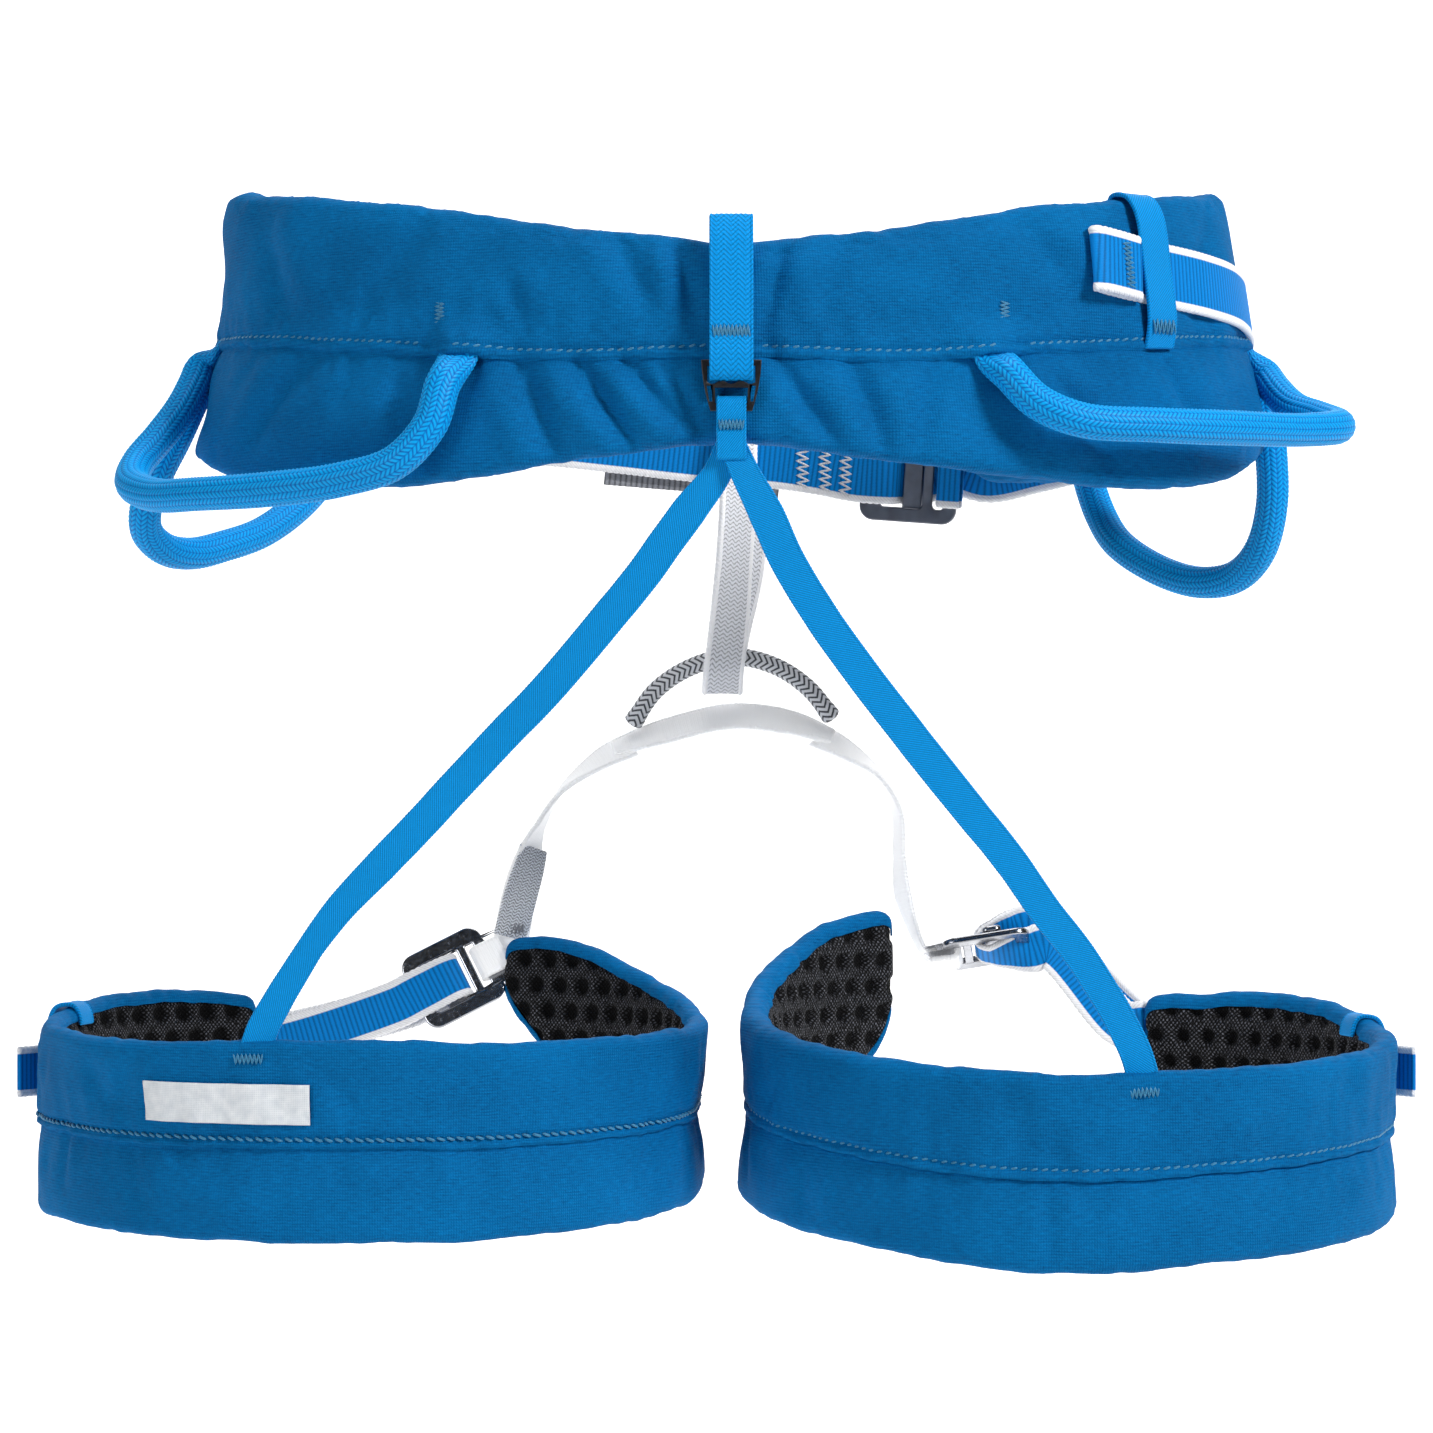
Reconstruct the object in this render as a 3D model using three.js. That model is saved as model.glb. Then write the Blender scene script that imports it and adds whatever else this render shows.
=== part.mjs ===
// A sit harness for climbing: a padded waist belt and two padded leg loops, joined at the back by
// elastic risers and at the front by the belay loop and the lower tie-in bridge. It is posed as worn.
// Millimetres, +Z up, +Y towards the wearer's front, +X towards the wearer's right. The origin is the
// middle of the waist opening, at the height of the belt's rear seam.
import * as THREE from "three";

// ---------------------------------------------------------------- driving dimensions
const GAP = 0.4; // clearance between touching pieces
const BELT = {
  halfWidth: 165.5, // outside, at seam height
  halfDepth: 108,
  flareX: 0.15, // growth of the half width for each millimetre down
  flareY: 0.12,
  leftEnd: -151, // degrees round from the rear centre
  rightEnd: 151,
};
// Edge heights round the belt: [degrees from the rear centre, z]
const BELT_TOP = profile([[0, 31], [18, 36], [33, 43], [60, 50], [90, 55], [115, 46], [135, 22], [152, 0]]);
const BELT_BOTTOM = profile([[0, -30], [18, -37], [38, -42], [65, -38], [90, -29], [115, -33], [135, -38],
  [152, -37]]);
// Layers of a padded band as [inner, outer] distance outside the shell's outer face
const BELT_LAYERS = { shell: [-1.8, 0], webbing: [-3.6, -2.2], foam: [-8.8, -4], lining: [-10.4, -9.2] };
const LEG_LAYERS = { shell: [-1.5, 0], webbing: [-3.1, -2], foam: [-7, -3.5], lining: [-8.4, -7.4] };

const LEGS = {
  left: {
    side: -1, centreX: 116, halfWidth: 106.5, halfDepth: 97, innerEnd: -153, outerEnd: 153,
    top: profile([[-154, -189], [-142, -188], [-125, -195], [-90, -209], [-45, -211], [0, -210],
      [50, -211], [90, -209], [118, -205], [140, -205], [155, -208]]),
    bottom: profile([[-154, -226], [-143, -239], [-120, -253], [-90, -264], [-45, -269], [0, -271],
      [45, -270], [90, -269], [120, -262], [140, -250], [155, -238]]),
  },
  right: {
    side: 1, centreX: 108.5, halfWidth: 104, halfDepth: 97, innerEnd: -145, outerEnd: 160,
    top: profile([[-147, -182], [-133, -182], [-118, -190], [-90, -205], [-45, -216], [-10, -220],
      [15, -220], [45, -218], [90, -214], [112, -209], [135, -206], [161, -209]]),
    bottom: profile([[-147, -214], [-130, -237], [-110, -253], [-90, -265], [-45, -273], [-8, -279],
      [30, -276], [60, -273], [90, -270], [120, -262], [140, -252], [161, -240]]),
  },
};

const WAIST_WEBBING = { width: 20, thickness: 1.8 };
const LEG_WEBBING = { width: 16, thickness: 1.5 };
const RISER_WEBBING = { width: 11, thickness: 1.5 };
const WHITE_WEBBING = { width: 12, thickness: 1.6 };
const HAUL_WEBBING = { width: 13, thickness: 1.6 };
const RISER_TOP_WEBBING = { width: 8.6, thickness: 1.3 };
const BELAY_WEBBING = { width: 15.5, thickness: 2.2 };
const UPPER_PROTECTOR = { width: 22, thickness: 1.4 };
const LOWER_PROTECTOR_RADIUS = 4;
const ANCHOR_WEBBING = { width: 20, thickness: 1.4 };
const WAIST_KEEPER = { width: 12, thickness: 1.2, angle: 52, bottom: 2 };
const LEG_KEEPER = { width: 10, thickness: 1.2, angle: 104, bottom: -244 };
const FOAM_MARGIN = 1.5; // from the shell's edge to the foam's
const LINING_MARGIN = 1;
const LABEL = { from: 6, to: 36, low: -235, high: -223, outer: 0.9 };
const GEAR_TUBE = { outer: 5, inner: 3.8, core: 3.1 };

const COLOURS = {
  shell: 0x0f5c94, webbing: 0x0876d8, riser: 0x0a84d6, gear: 0x0a7fe0, lining: 0x16161a, foam: 0x3a3d42,
  grey: 0xa9acb0, white: 0xe6e6e8, steel: 0xc9ccd0, plastic: 0x141416, core: 0xd9d9d6, label: 0xdfe3e8,
};

const harness = new THREE.Group();

// ---------------------------------------------------------------- helpers
// A smooth function through [angle, value] pairs, flat beyond both ends.
function profile(pairs) {
  const symmetric = pairs[0][0] === 0;
  const curve = new THREE.CatmullRomCurve3(pairs.map(([a, v]) => new THREE.Vector3(a, v, 0)));
  const fine = curve.getPoints(pairs.length * 10);
  return (degrees) => {
    const a = symmetric ? Math.abs(degrees) : degrees;
    if (a <= fine[0].x) return fine[0].y;
    const i = fine.findIndex((p) => p.x >= a);
    if (i < 0) return fine[fine.length - 1].y;
    const t = (a - fine[i - 1].x) / Math.max(1e-6, fine[i].x - fine[i - 1].x);
    return fine[i - 1].y + t * (fine[i].y - fine[i - 1].y);
  };
}

function vec([x, y, z]) {
  return new THREE.Vector3(x, y, z);
}

function addMesh(name, geometry, colour, { roughness = 0.8, metalness = 0 } = {}) {
  const material = new THREE.MeshStandardMaterial({ color: colour, roughness, metalness });
  const mesh = new THREE.Mesh(geometry, material);
  mesh.name = name;
  harness.add(mesh);
  return mesh;
}

// A closed skin over rings of equally many points. Open rings get a flat fan at each end.
function loft(rings, { closed = false } = {}) {
  const n = rings[0].length;
  const positions = rings.flat().flatMap((p) => [p.x, p.y, p.z]);
  const index = [];
  const last = closed ? rings.length : rings.length - 1;
  for (let i = 0; i < last; i++) {
    const a = i * n;
    const b = ((i + 1) % rings.length) * n;
    for (let k = 0; k < n; k++) {
      const m = (k + 1) % n;
      index.push(a + k, b + k, b + m, a + k, b + m, a + m);
    }
  }
  if (!closed) {
    const end = (rings.length - 1) * n;
    for (let k = 1; k < n - 1; k++) {
      index.push(0, k, k + 1, end, end + k + 1, end + k);
    }
  }
  const geometry = new THREE.BufferGeometry();
  geometry.setAttribute("position", new THREE.Float32BufferAttribute(positions, 3));
  geometry.setIndex(volume(positions, index) < 0 ? index.reverse() : index);
  geometry.computeVertexNormals();
  return geometry;
}

function volume(positions, index) {
  const at = (i) => new THREE.Vector3().fromArray(positions, 3 * index[i]);
  let sum = 0;
  for (let i = 0; i < index.length; i += 3) {
    sum += at(i).dot(at(i + 1).cross(at(i + 2)));
  }
  return sum;
}

// A flat webbing along control points. Either `across` gives the width's direction or `facing` the
// outward side's, as one vector or one for each control point.
function ribbon(points, { width, thickness }, { across, facing, steps = 4, closed = false }) {
  const control = points.map(vec);
  const curve = new THREE.CatmullRomCurve3(control, closed, "centripetal");
  const hints = (across ?? facing).length === points.length ? (across ?? facing).map(vec) : null;
  const single = hints ? null : vec(across ?? facing);
  const count = (closed ? points.length : points.length - 1) * steps;
  const rings = [];
  for (let i = 0; i < count + (closed ? 0 : 1); i++) {
    const t = i / count;
    const place = curve.getPoint(t);
    const along = curve.getTangent(t);
    const hint = single ?? mixed(hints, t, closed);
    const side = across ? hint.clone() : new THREE.Vector3().crossVectors(along, hint);
    const normal = new THREE.Vector3().crossVectors(side, along).normalize();
    side.crossVectors(along, normal).normalize();
    rings.push(
      [[-1, -1], [1, -1], [1, 1], [-1, 1]].map(([s, n]) =>
        place.clone().addScaledVector(side, (s * width) / 2).addScaledVector(normal, (n * thickness) / 2),
      ),
    );
  }
  return loft(rings, { closed });
}

function mixed(list, t, closed) {
  const spans = closed ? list.length : list.length - 1;
  const at = t * spans;
  const i = Math.min(Math.floor(at), spans - 1);
  return list[i].clone().lerp(list[(i + 1) % list.length], at - i);
}

// Round rings of one radius along a curve, turned with the least twist.
function tubeRings(curve, radius, sides, steps, from = 0, to = 1) {
  const rings = [];
  const normal = new THREE.Vector3();
  for (let i = 0; i <= steps; i++) {
    const t = from + ((to - from) * i) / steps;
    const place = curve.getPointAt(t);
    const along = curve.getTangentAt(t);
    if (i === 0) normal.crossVectors(along, new THREE.Vector3(0.3, 0.2, 1)).normalize();
    normal.addScaledVector(along, -normal.dot(along)).normalize();
    const other = new THREE.Vector3().crossVectors(along, normal);
    const ring = [];
    for (let k = 0; k < sides; k++) {
      const a = (2 * Math.PI * k) / sides;
      const point = place.clone().addScaledVector(normal, radius * Math.cos(a));
      ring.push(point.addScaledVector(other, radius * Math.sin(a)));
    }
    rings.push(ring);
  }
  return rings;
}

// A tube open at both ends: out along the outer rings and back along the inner ones.
function hollowTube(curve, outer, inner, sides, steps) {
  const out = tubeRings(curve, outer, sides, steps);
  const back = tubeRings(curve, inner, sides, steps).reverse();
  return loft([...out, ...back], { closed: true });
}

// ---------------------------------------------------------------- the padded bands
function beltPoint(degrees, z, outset = 0) {
  const a = THREE.MathUtils.degToRad(degrees);
  const halfWidth = BELT.halfWidth - BELT.flareX * z;
  const halfDepth = BELT.halfDepth - BELT.flareY * z;
  const normal = new THREE.Vector2(Math.sin(a) / halfWidth, -Math.cos(a) / halfDepth).normalize();
  return [halfWidth * Math.sin(a) + normal.x * outset, -halfDepth * Math.cos(a) + normal.y * outset, z];
}

// The upward direction along the belt's outside, for webbing that lies on it.
function beltUp(degrees, z) {
  return vec(beltPoint(degrees, z + 1)).sub(vec(beltPoint(degrees, z - 1))).normalize().toArray();
}

function legPoint(leg, degrees, z, outset = 0) {
  const a = THREE.MathUtils.degToRad(degrees);
  const normal = new THREE.Vector2(Math.sin(a) / leg.halfWidth, -Math.cos(a) / leg.halfDepth).normalize();
  return [
    leg.side * (leg.centreX + leg.halfWidth * Math.sin(a) + normal.x * outset),
    -leg.halfDepth * Math.cos(a) + normal.y * outset,
    z,
  ];
}

// One layer of a band, from one end angle to the other. `low` and `high` give its edges by angle.
function bandLayer(pointAt, [inner, outer], from, to, low, high, steps) {
  const rings = [];
  for (let i = 0; i <= steps; i++) {
    const angle = from + ((to - from) * i) / steps;
    const corners = [[low(angle), outer], [high(angle), outer], [high(angle), inner], [low(angle), inner]];
    rings.push(corners.map(([z, outset]) => vec(pointAt(angle, z, outset))));
  }
  return loft(rings);
}

function inset(edge, by) {
  return (angle) => edge(angle) + by;
}

function makeWaistBelt() {
  const { leftEnd, rightEnd } = BELT;
  const steps = 38;
  const layer = (name, from, to, low, high) =>
    bandLayer(beltPoint, BELT_LAYERS[name], from, to, low, high, steps);
  const middle = (angle) => (BELT_TOP(angle) + BELT_BOTTOM(angle)) / 2;
  const reach = WAIST_WEBBING.width / 2;
  addMesh("waist_belt_shell", layer("shell", leftEnd, rightEnd, BELT_BOTTOM, BELT_TOP), COLOURS.shell);
  addMesh(
    "waist_belt_webbing",
    layer("webbing", leftEnd + 1, rightEnd - 1, inset(middle, -reach), inset(middle, reach)),
    COLOURS.webbing,
  );
  addMesh(
    "waist_belt_foam",
    layer("foam", leftEnd + 1, rightEnd - 1, inset(BELT_BOTTOM, FOAM_MARGIN), inset(BELT_TOP, -FOAM_MARGIN)),
    COLOURS.foam,
  );
  addMesh(
    "waist_belt_lining",
    layer("lining", leftEnd, rightEnd, inset(BELT_BOTTOM, LINING_MARGIN), inset(BELT_TOP, -LINING_MARGIN)),
    COLOURS.lining,
  );
}

function makeLegLoop(name, leg) {
  const { innerEnd, outerEnd, top, bottom } = leg;
  const steps = 34;
  const place = (angle, z, outset) => legPoint(leg, angle, z, outset);
  const layer = (key, from, to, low, high) => bandLayer(place, LEG_LAYERS[key], from, to, low, high, steps);
  const middle = (angle) => (top(angle) + bottom(angle)) / 2;
  const reach = LEG_WEBBING.width / 2;
  addMesh(`leg_loop_${name}_shell`, layer("shell", innerEnd, outerEnd, bottom, top), COLOURS.shell);
  addMesh(
    `leg_loop_${name}_webbing`,
    layer("webbing", innerEnd + 2, outerEnd - 2, inset(middle, -reach), inset(middle, reach)),
    COLOURS.webbing,
  );
  addMesh(
    `leg_loop_${name}_foam`,
    layer("foam", innerEnd + 1, outerEnd - 1, inset(bottom, FOAM_MARGIN), inset(top, -FOAM_MARGIN)),
    COLOURS.foam,
  );
  addMesh(
    `leg_loop_${name}_lining`,
    layer("lining", innerEnd, outerEnd, inset(bottom, LINING_MARGIN), inset(top, -LINING_MARGIN)),
    COLOURS.lining,
  );
}

// ---------------------------------------------------------------- buckles
// A slide-block buckle: a slotted frame, and a slider plate that rests on it and locks the webbing.
// Local axes: u along the webbing towards the anchored side, v across it, w out from the wearer.
const BUCKLES = {
  waist: {
    webbing: 20, length: 34, window: [-10, 5], slot: [8.5, 12.5], slider: [-2.5, 4.5],
    centre: [61.5, 96.6, -29], u: [0.972, -0.22, -0.08], w: [0.235, 0.966, 0.1],
  },
  left: {
    webbing: 16, length: 30, window: [-10, 5], slot: [8, 11], slider: [-6, 1],
    centre: [-95.5, 87.5, -201.5], u: [0.89, 0.05, 0.45], w: [0.1, 0.95, -0.29],
  },
  right: {
    webbing: 16, length: 30, window: [-10, 5], slot: [8, 11], slider: [-6, 1],
    centre: [88, 88, -193], u: [-0.985, 0.05, -0.16], w: [-0.14, 0.4, 0.9],
  },
};
const PLATE = 2.2; // thickness of a buckle plate
const SLIDER_LIFT = 2.8; // underside of the slider plate above the frame's underside
const SLIDER_THICKNESS = 2;
const WAIST_ANCHOR_TAIL = 18.2; // how far the anchor webbing's tails reach from the buckle's centre
const LEG_ANCHOR_TAIL = 20;

function buckleAxes(buckle) {
  const u = vec(buckle.u).normalize();
  const w = vec(buckle.w);
  w.addScaledVector(u, -w.dot(u)).normalize();
  const v = new THREE.Vector3().crossVectors(w, u);
  return { u, v, w, centre: vec(buckle.centre) };
}

function inBuckle(buckle, along, out, sideways = 0) {
  const { u, v, w, centre } = buckleAxes(buckle);
  const p = centre.clone().addScaledVector(u, along).addScaledVector(v, sideways).addScaledVector(w, out);
  return [p.x, p.y, p.z];
}

function roundedBox(low, high, halfAcross, corner) {
  const shape = new THREE.Shape();
  const arc = (x, y, from) => shape.absarc(x, y, corner, from, from + Math.PI / 2, false);
  arc(high - corner, halfAcross - corner, 0);
  arc(low + corner, halfAcross - corner, Math.PI / 2);
  arc(low + corner, -halfAcross + corner, Math.PI);
  arc(high - corner, -halfAcross + corner, 1.5 * Math.PI);
  shape.closePath();
  return shape;
}

function placedPlate(name, shape, buckle, lift, thickness) {
  const options = { depth: thickness, bevelEnabled: false, curveSegments: 4 };
  const geometry = new THREE.ExtrudeGeometry(shape, options);
  const mesh = addMesh(name, geometry, COLOURS.steel, { roughness: 0.25, metalness: 1 });
  const { u, v, w, centre } = buckleAxes(buckle);
  mesh.matrixAutoUpdate = false;
  mesh.matrix.makeBasis(u, v, w).setPosition(centre.addScaledVector(w, lift));
}

function makeBuckle(name, buckle) {
  const halfWindow = buckle.webbing / 2 + 1;
  const frame = roundedBox(-buckle.length / 2, buckle.length / 2, halfWindow + 5, 4);
  for (const [low, high] of [buckle.window, buckle.slot]) {
    frame.holes.push(roundedBox(low, high, halfWindow, 1.2));
  }
  placedPlate(`${name}_frame`, frame, buckle, 0, PLATE);
  const slider = roundedBox(buckle.slider[0], buckle.slider[1], halfWindow + 4, 1.5);
  placedPlate(`${name}_slider`, slider, buckle, SLIDER_LIFT, SLIDER_THICKNESS);
}

// A short webbing folded round the buckle's anchor bar, from one tail's end to the other's.
function anchorFold(buckle, tailU) {
  const bar = (buckle.slot[1] + buckle.length / 2) / 2;
  const inSlot = (buckle.slot[0] + buckle.slot[1]) / 2;
  return [[tailU, -1.2], [bar + 3, -1.4], [inSlot + 1.2, -1.3], [inSlot, PLATE / 2],
    [inSlot + 1.2, PLATE + 1.3], [bar + 3, PLATE + 1.4], [tailU, PLATE + 0.6]];
}

// ---------------------------------------------------------------- waist webbing and its keeper
function makeWaistWebbing() {
  const buckle = BUCKLES.waist;
  const { v } = buckleAxes(buckle);
  const up = [v.x, v.y, v.z].map((c) => c * Math.sign(v.z));
  const front = [[-151.9, -19, -2.9], [-158, -19, -4.6], [-166, -19.5, -5.4], [-176, -21.5, -5.4],
    [174, -23, -5.8], [168.5, -25.5, -7.2]];
  const tail = [[149, -20, 3.4], [143, -15, 1.9], [135, -9, 1.8], [126, -2, 1.8], [115, 6, 1.8],
    [103, 14, 1.8], [90, 19, 1.8], [76, 21, 1.8], [64, 22.5, 1.8], [52, 24.5, 1.8], [46, 26, 3],
    [41.5, 27.5, 6.2]];
  const through = [[-18, -1.5, 0], [-9.5, -1.5, 0], [-6.8, 0.8, 0], [-4.4, 5.2, 0], [0, 6.6, 0],
    [8, 6.8, -1.8], [15, 6.8, -4.4]];
  const points = [
    ...front.map(([angle, z, outset]) => beltPoint(angle, z, outset)),
    ...through.map((place) => inBuckle(buckle, ...place)),
    ...tail.map(([angle, z, outset]) => beltPoint(angle, z, outset)),
  ];
  const upright = (list) => list.map(([angle, z]) => beltUp(angle, z));
  const across = [...upright(front), ...through.map(() => up), ...upright(tail)];
  addMesh("waist_strap", ribbon(points, WAIST_WEBBING, { across, steps: 2 }), COLOURS.webbing);
  const fold = anchorFold(buckle, WAIST_ANCHOR_TAIL).map(([along, out]) => inBuckle(buckle, along, out));
  addMesh("waist_buckle_anchor", ribbon(fold, ANCHOR_WEBBING, { across: up, steps: 3 }), COLOURS.webbing);
  makeBuckle("waist_buckle", buckle);
}

// An elastic keeper: sewn inside the band's top edge, over it, and down outside the strap's tail.
function keeper(pointAt, size, { top, inner, inside, outside }) {
  const { angle, bottom } = size;
  const path = [[top - 14, inside], [top - 5, inside], [top + 1.6, (inside + inner) / 2 - 0.6],
    [top + 2.4, -3], [top + 0.8, 1.8], [top - 6, outside], [(top + bottom) / 2, outside + 0.2],
    [bottom + 8, outside], [bottom, 1.4]];
  const points = path.map(([z, outset]) => pointAt(angle, z, outset));
  const across = vec(pointAt(angle + 1, 0)).sub(vec(pointAt(angle - 1, 0))).normalize();
  return ribbon(points, size, { across: across.toArray(), steps: 3 });
}

function makeWaistKeeper() {
  const layout = { top: BELT_TOP(WAIST_KEEPER.angle), inner: -10.4, inside: -11.6, outside: 4 };
  addMesh("waist_strap_keeper", keeper(beltPoint, WAIST_KEEPER, layout), COLOURS.riser);
}

// ---------------------------------------------------------------- haul loop, hook and risers
const HOOK = {
  y: -115, x: -0.6, top: -6.2, bottom: -21.4, halfTop: 9, halfBottom: 6.2, thickness: 1.8,
  upper: { from: -8, to: -12.8, half: 7.1 }, // window for the haul loop
  lower: { from: -14.4, to: -19.2, half: 4.8 }, // window for the risers
  sideSlot: [[7.3, -14.2], [6.3, -18.2], [5.8, -18.2], [5.8, -14.2]],
};

function makeHaulLoop() {
  const path = [[-107.4, 30], [-109.4, 37], [-112.4, 32], [-115, 16], [-116.2, 3], [-117.7, -5.4],
    [-117, -10], [-115, -11.6], [-113, -10], [-112.3, -5.4], [-111.2, 4], [-109.6, 18]];
  const points = path.map(([y, z]) => [HOOK.x, y, z]);
  const geometry = ribbon(points, HAUL_WEBBING, { across: [1, 0, 0], steps: 2, closed: true });
  addMesh("haul_loop", geometry, COLOURS.webbing);
}

// A plastic hook: a tapering plate with a window for the haul loop, one for the risers below it, and
// a slot down each side.
function makeHook() {
  const { x, y, top, bottom, halfTop, halfBottom, thickness, upper, lower, sideSlot } = HOOK;
  const outline = new THREE.Shape();
  outline.moveTo(-halfTop, top);
  outline.quadraticCurveTo(-halfTop + 0.3, (top + bottom) / 2, -halfBottom, bottom);
  outline.lineTo(halfBottom, bottom);
  outline.quadraticCurveTo(halfTop - 0.3, (top + bottom) / 2, halfTop, top);
  outline.closePath();
  const hole = (corners) => {
    outline.holes.push(new THREE.Path(corners.map(([a, b]) => new THREE.Vector2(a, b))));
  };
  for (const { from, to, half } of [upper, lower]) {
    hole([[-half, from], [-half, to], [half, to], [half, from]]);
  }
  for (const mirror of [-1, 1]) {
    hole(sideSlot.map(([a, b]) => [mirror * a, b]));
  }
  const options = { depth: thickness, bevelEnabled: false, curveSegments: 5 };
  const geometry = new THREE.ExtrudeGeometry(outline, options);
  const mesh = addMesh("riser_hook", geometry, COLOURS.plastic, { roughness: 0.5 });
  mesh.rotation.x = Math.PI / 2;
  mesh.position.set(x, y + thickness / 2, 0);
}

function makeRiserTopLoop() {
  const turn = HOOK.lower.to + 1.6;
  const path = [[-112.9, -34], [-112.9, -27], [-113, turn - 2.8], [-113.6, turn - 0.8], [-115, turn],
    [-116.4, turn - 0.8], [-117, turn - 2.8], [-117.1, -27], [-117.2, -34]];
  const points = path.map(([y, z]) => [HOOK.x, y, z]);
  const geometry = ribbon(points, RISER_TOP_WEBBING, { across: [1, 0, 0], steps: 2 });
  addMesh("riser_top_loop", geometry, COLOURS.riser);
}

const RISERS = {
  left: [[-5, -113.4, -40], [-13, -112.4, -50.5], [-28, -110, -71], [-52.5, -106, -100.5],
    [-71.5, -102, -120.5], [-104.5, -98, -157], [-122, -96, -171], [-132.5, -94, -185],
    [-139, -93.2, -198], [-141.6, -93.2, -206]],
  right: [[3.5, -116.4, -40], [9, -115, -50.5], [19, -111, -71], [39.5, -106, -100.5], [62, -102, -129],
    [84, -99, -156.5], [94, -97, -170.5], [104, -95, -184], [112.5, -93.6, -198], [119.8, -93.4, -212.5],
    [121.4, -93.4, -215.6]],
};

function makeRiser(name) {
  const geometry = ribbon(RISERS[name], RISER_WEBBING, { facing: [0, -1, 0], steps: 2 });
  addMesh(`leg_riser_${name}`, geometry, COLOURS.riser);
}

// ---------------------------------------------------------------- belay loop and tie-in points
function makeBelayLoop() {
  const points = [[3, 101, -11.5], [2.5, 99.4, -35], [1, 96, -60], [-1, 92.4, -84], [-2.5, 92, -96],
    [-3, 97.6, -103], [-2.6, 103.6, -96], [-0.5, 105.4, -84], [5.5, 108.6, -58], [6, 112.2, -33],
    [5, 112.6, -11.5], [4, 106.8, -3]];
  const geometry = ribbon(points, BELAY_WEBBING, { across: [1, 0, 0], steps: 3, closed: true });
  addMesh("belay_loop", geometry, COLOURS.grey);
}

function makeTieInPoints() {
  const patch = [[-166, -19.5], [-172, -20], [-179, -21], [-186, -23]];
  const points = patch.map(([angle, z]) => beltPoint(angle, z, -2.6));
  const across = patch.map(([angle, z]) => beltUp(angle, z));
  addMesh("tie_in_protector_upper", ribbon(points, UPPER_PROTECTOR, { across, steps: 3 }), COLOURS.grey);
  const arc = new THREE.CatmullRomCurve3(
    [[-32, 98, -111], [-25, 98, -102.5], [-14, 98, -95], [0.5, 98, -91.3], [15, 98, -94.5],
      [26, 98, -101.5], [33, 98, -110]].map(vec),
  );
  addMesh("tie_in_protector_lower", loft(tubeRings(arc, LOWER_PROTECTOR_RADIUS, 10, 14)), COLOURS.grey);
  const bridge = [[-41, 98, -123], [-24, 98, -117.5], [0, 98, -112], [20, 98, -114], [35.5, 98, -119]];
  const tilted = { across: [0, 0.72, 0.7], steps: 3 };
  addMesh("tie_in_bridge", ribbon(bridge, WHITE_WEBBING, tilted), COLOURS.white);
}

// The white webbing from the bridge's end down to the leg buckle, folded round its anchor bar.
const LEG_WEBS = {
  left: {
    path: [[-44.5, 98, -126.5], [-58, 97, -137], [-66, 95.5, -150], [-70.5, 93.5, -163], [-73.5, 92.5, -176]],
    across: [[0, 0.72, 0.7], [0.1, 0.95, 0.2], [0.6, 0.8, 0], [0.9, 0.42, 0], [0.98, 0.2, 0.05]],
  },
  right: {
    path: [[38.5, 98, -122.8], [51, 97, -132], [57.5, 95.5, -145], [58.2, 93.5, -160], [59.5, 92, -174]],
    across: [[0, 0.72, 0.7], [-0.1, 0.95, 0.2], [-0.5, 0.85, 0], [-0.6, 0.8, 0], [-0.5, 0.86, 0.05]],
  },
};

function makeLegWeb(name) {
  const buckle = BUCKLES[name];
  const { path, across } = LEG_WEBS[name];
  const { v } = buckleAxes(buckle);
  const turn = across[across.length - 1];
  const sign = Math.sign(v.x * turn[0] + v.y * turn[1] + v.z * turn[2]) || 1;
  const flat = [v.x, v.y, v.z].map((c) => c * sign);
  const fold = anchorFold(buckle, LEG_ANCHOR_TAIL);
  const points = [...path, ...fold.reverse().map(([along, out]) => inBuckle(buckle, along, out))];
  const turned = [...across, ...fold.map(() => flat)];
  addMesh(`leg_web_${name}`, ribbon(points, WHITE_WEBBING, { across: turned, steps: 3 }), COLOURS.white);
}

// ---------------------------------------------------------------- leg straps and keepers
// The strap leaves the padding's outer end, turns back round the slider, and its tail runs outside
// the padding to the keeper.
const LEG_TAIL_LIFT = 1.35; // the tail's middle outside the shell
const LEG_TAIL_END_Z = -227;

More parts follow.
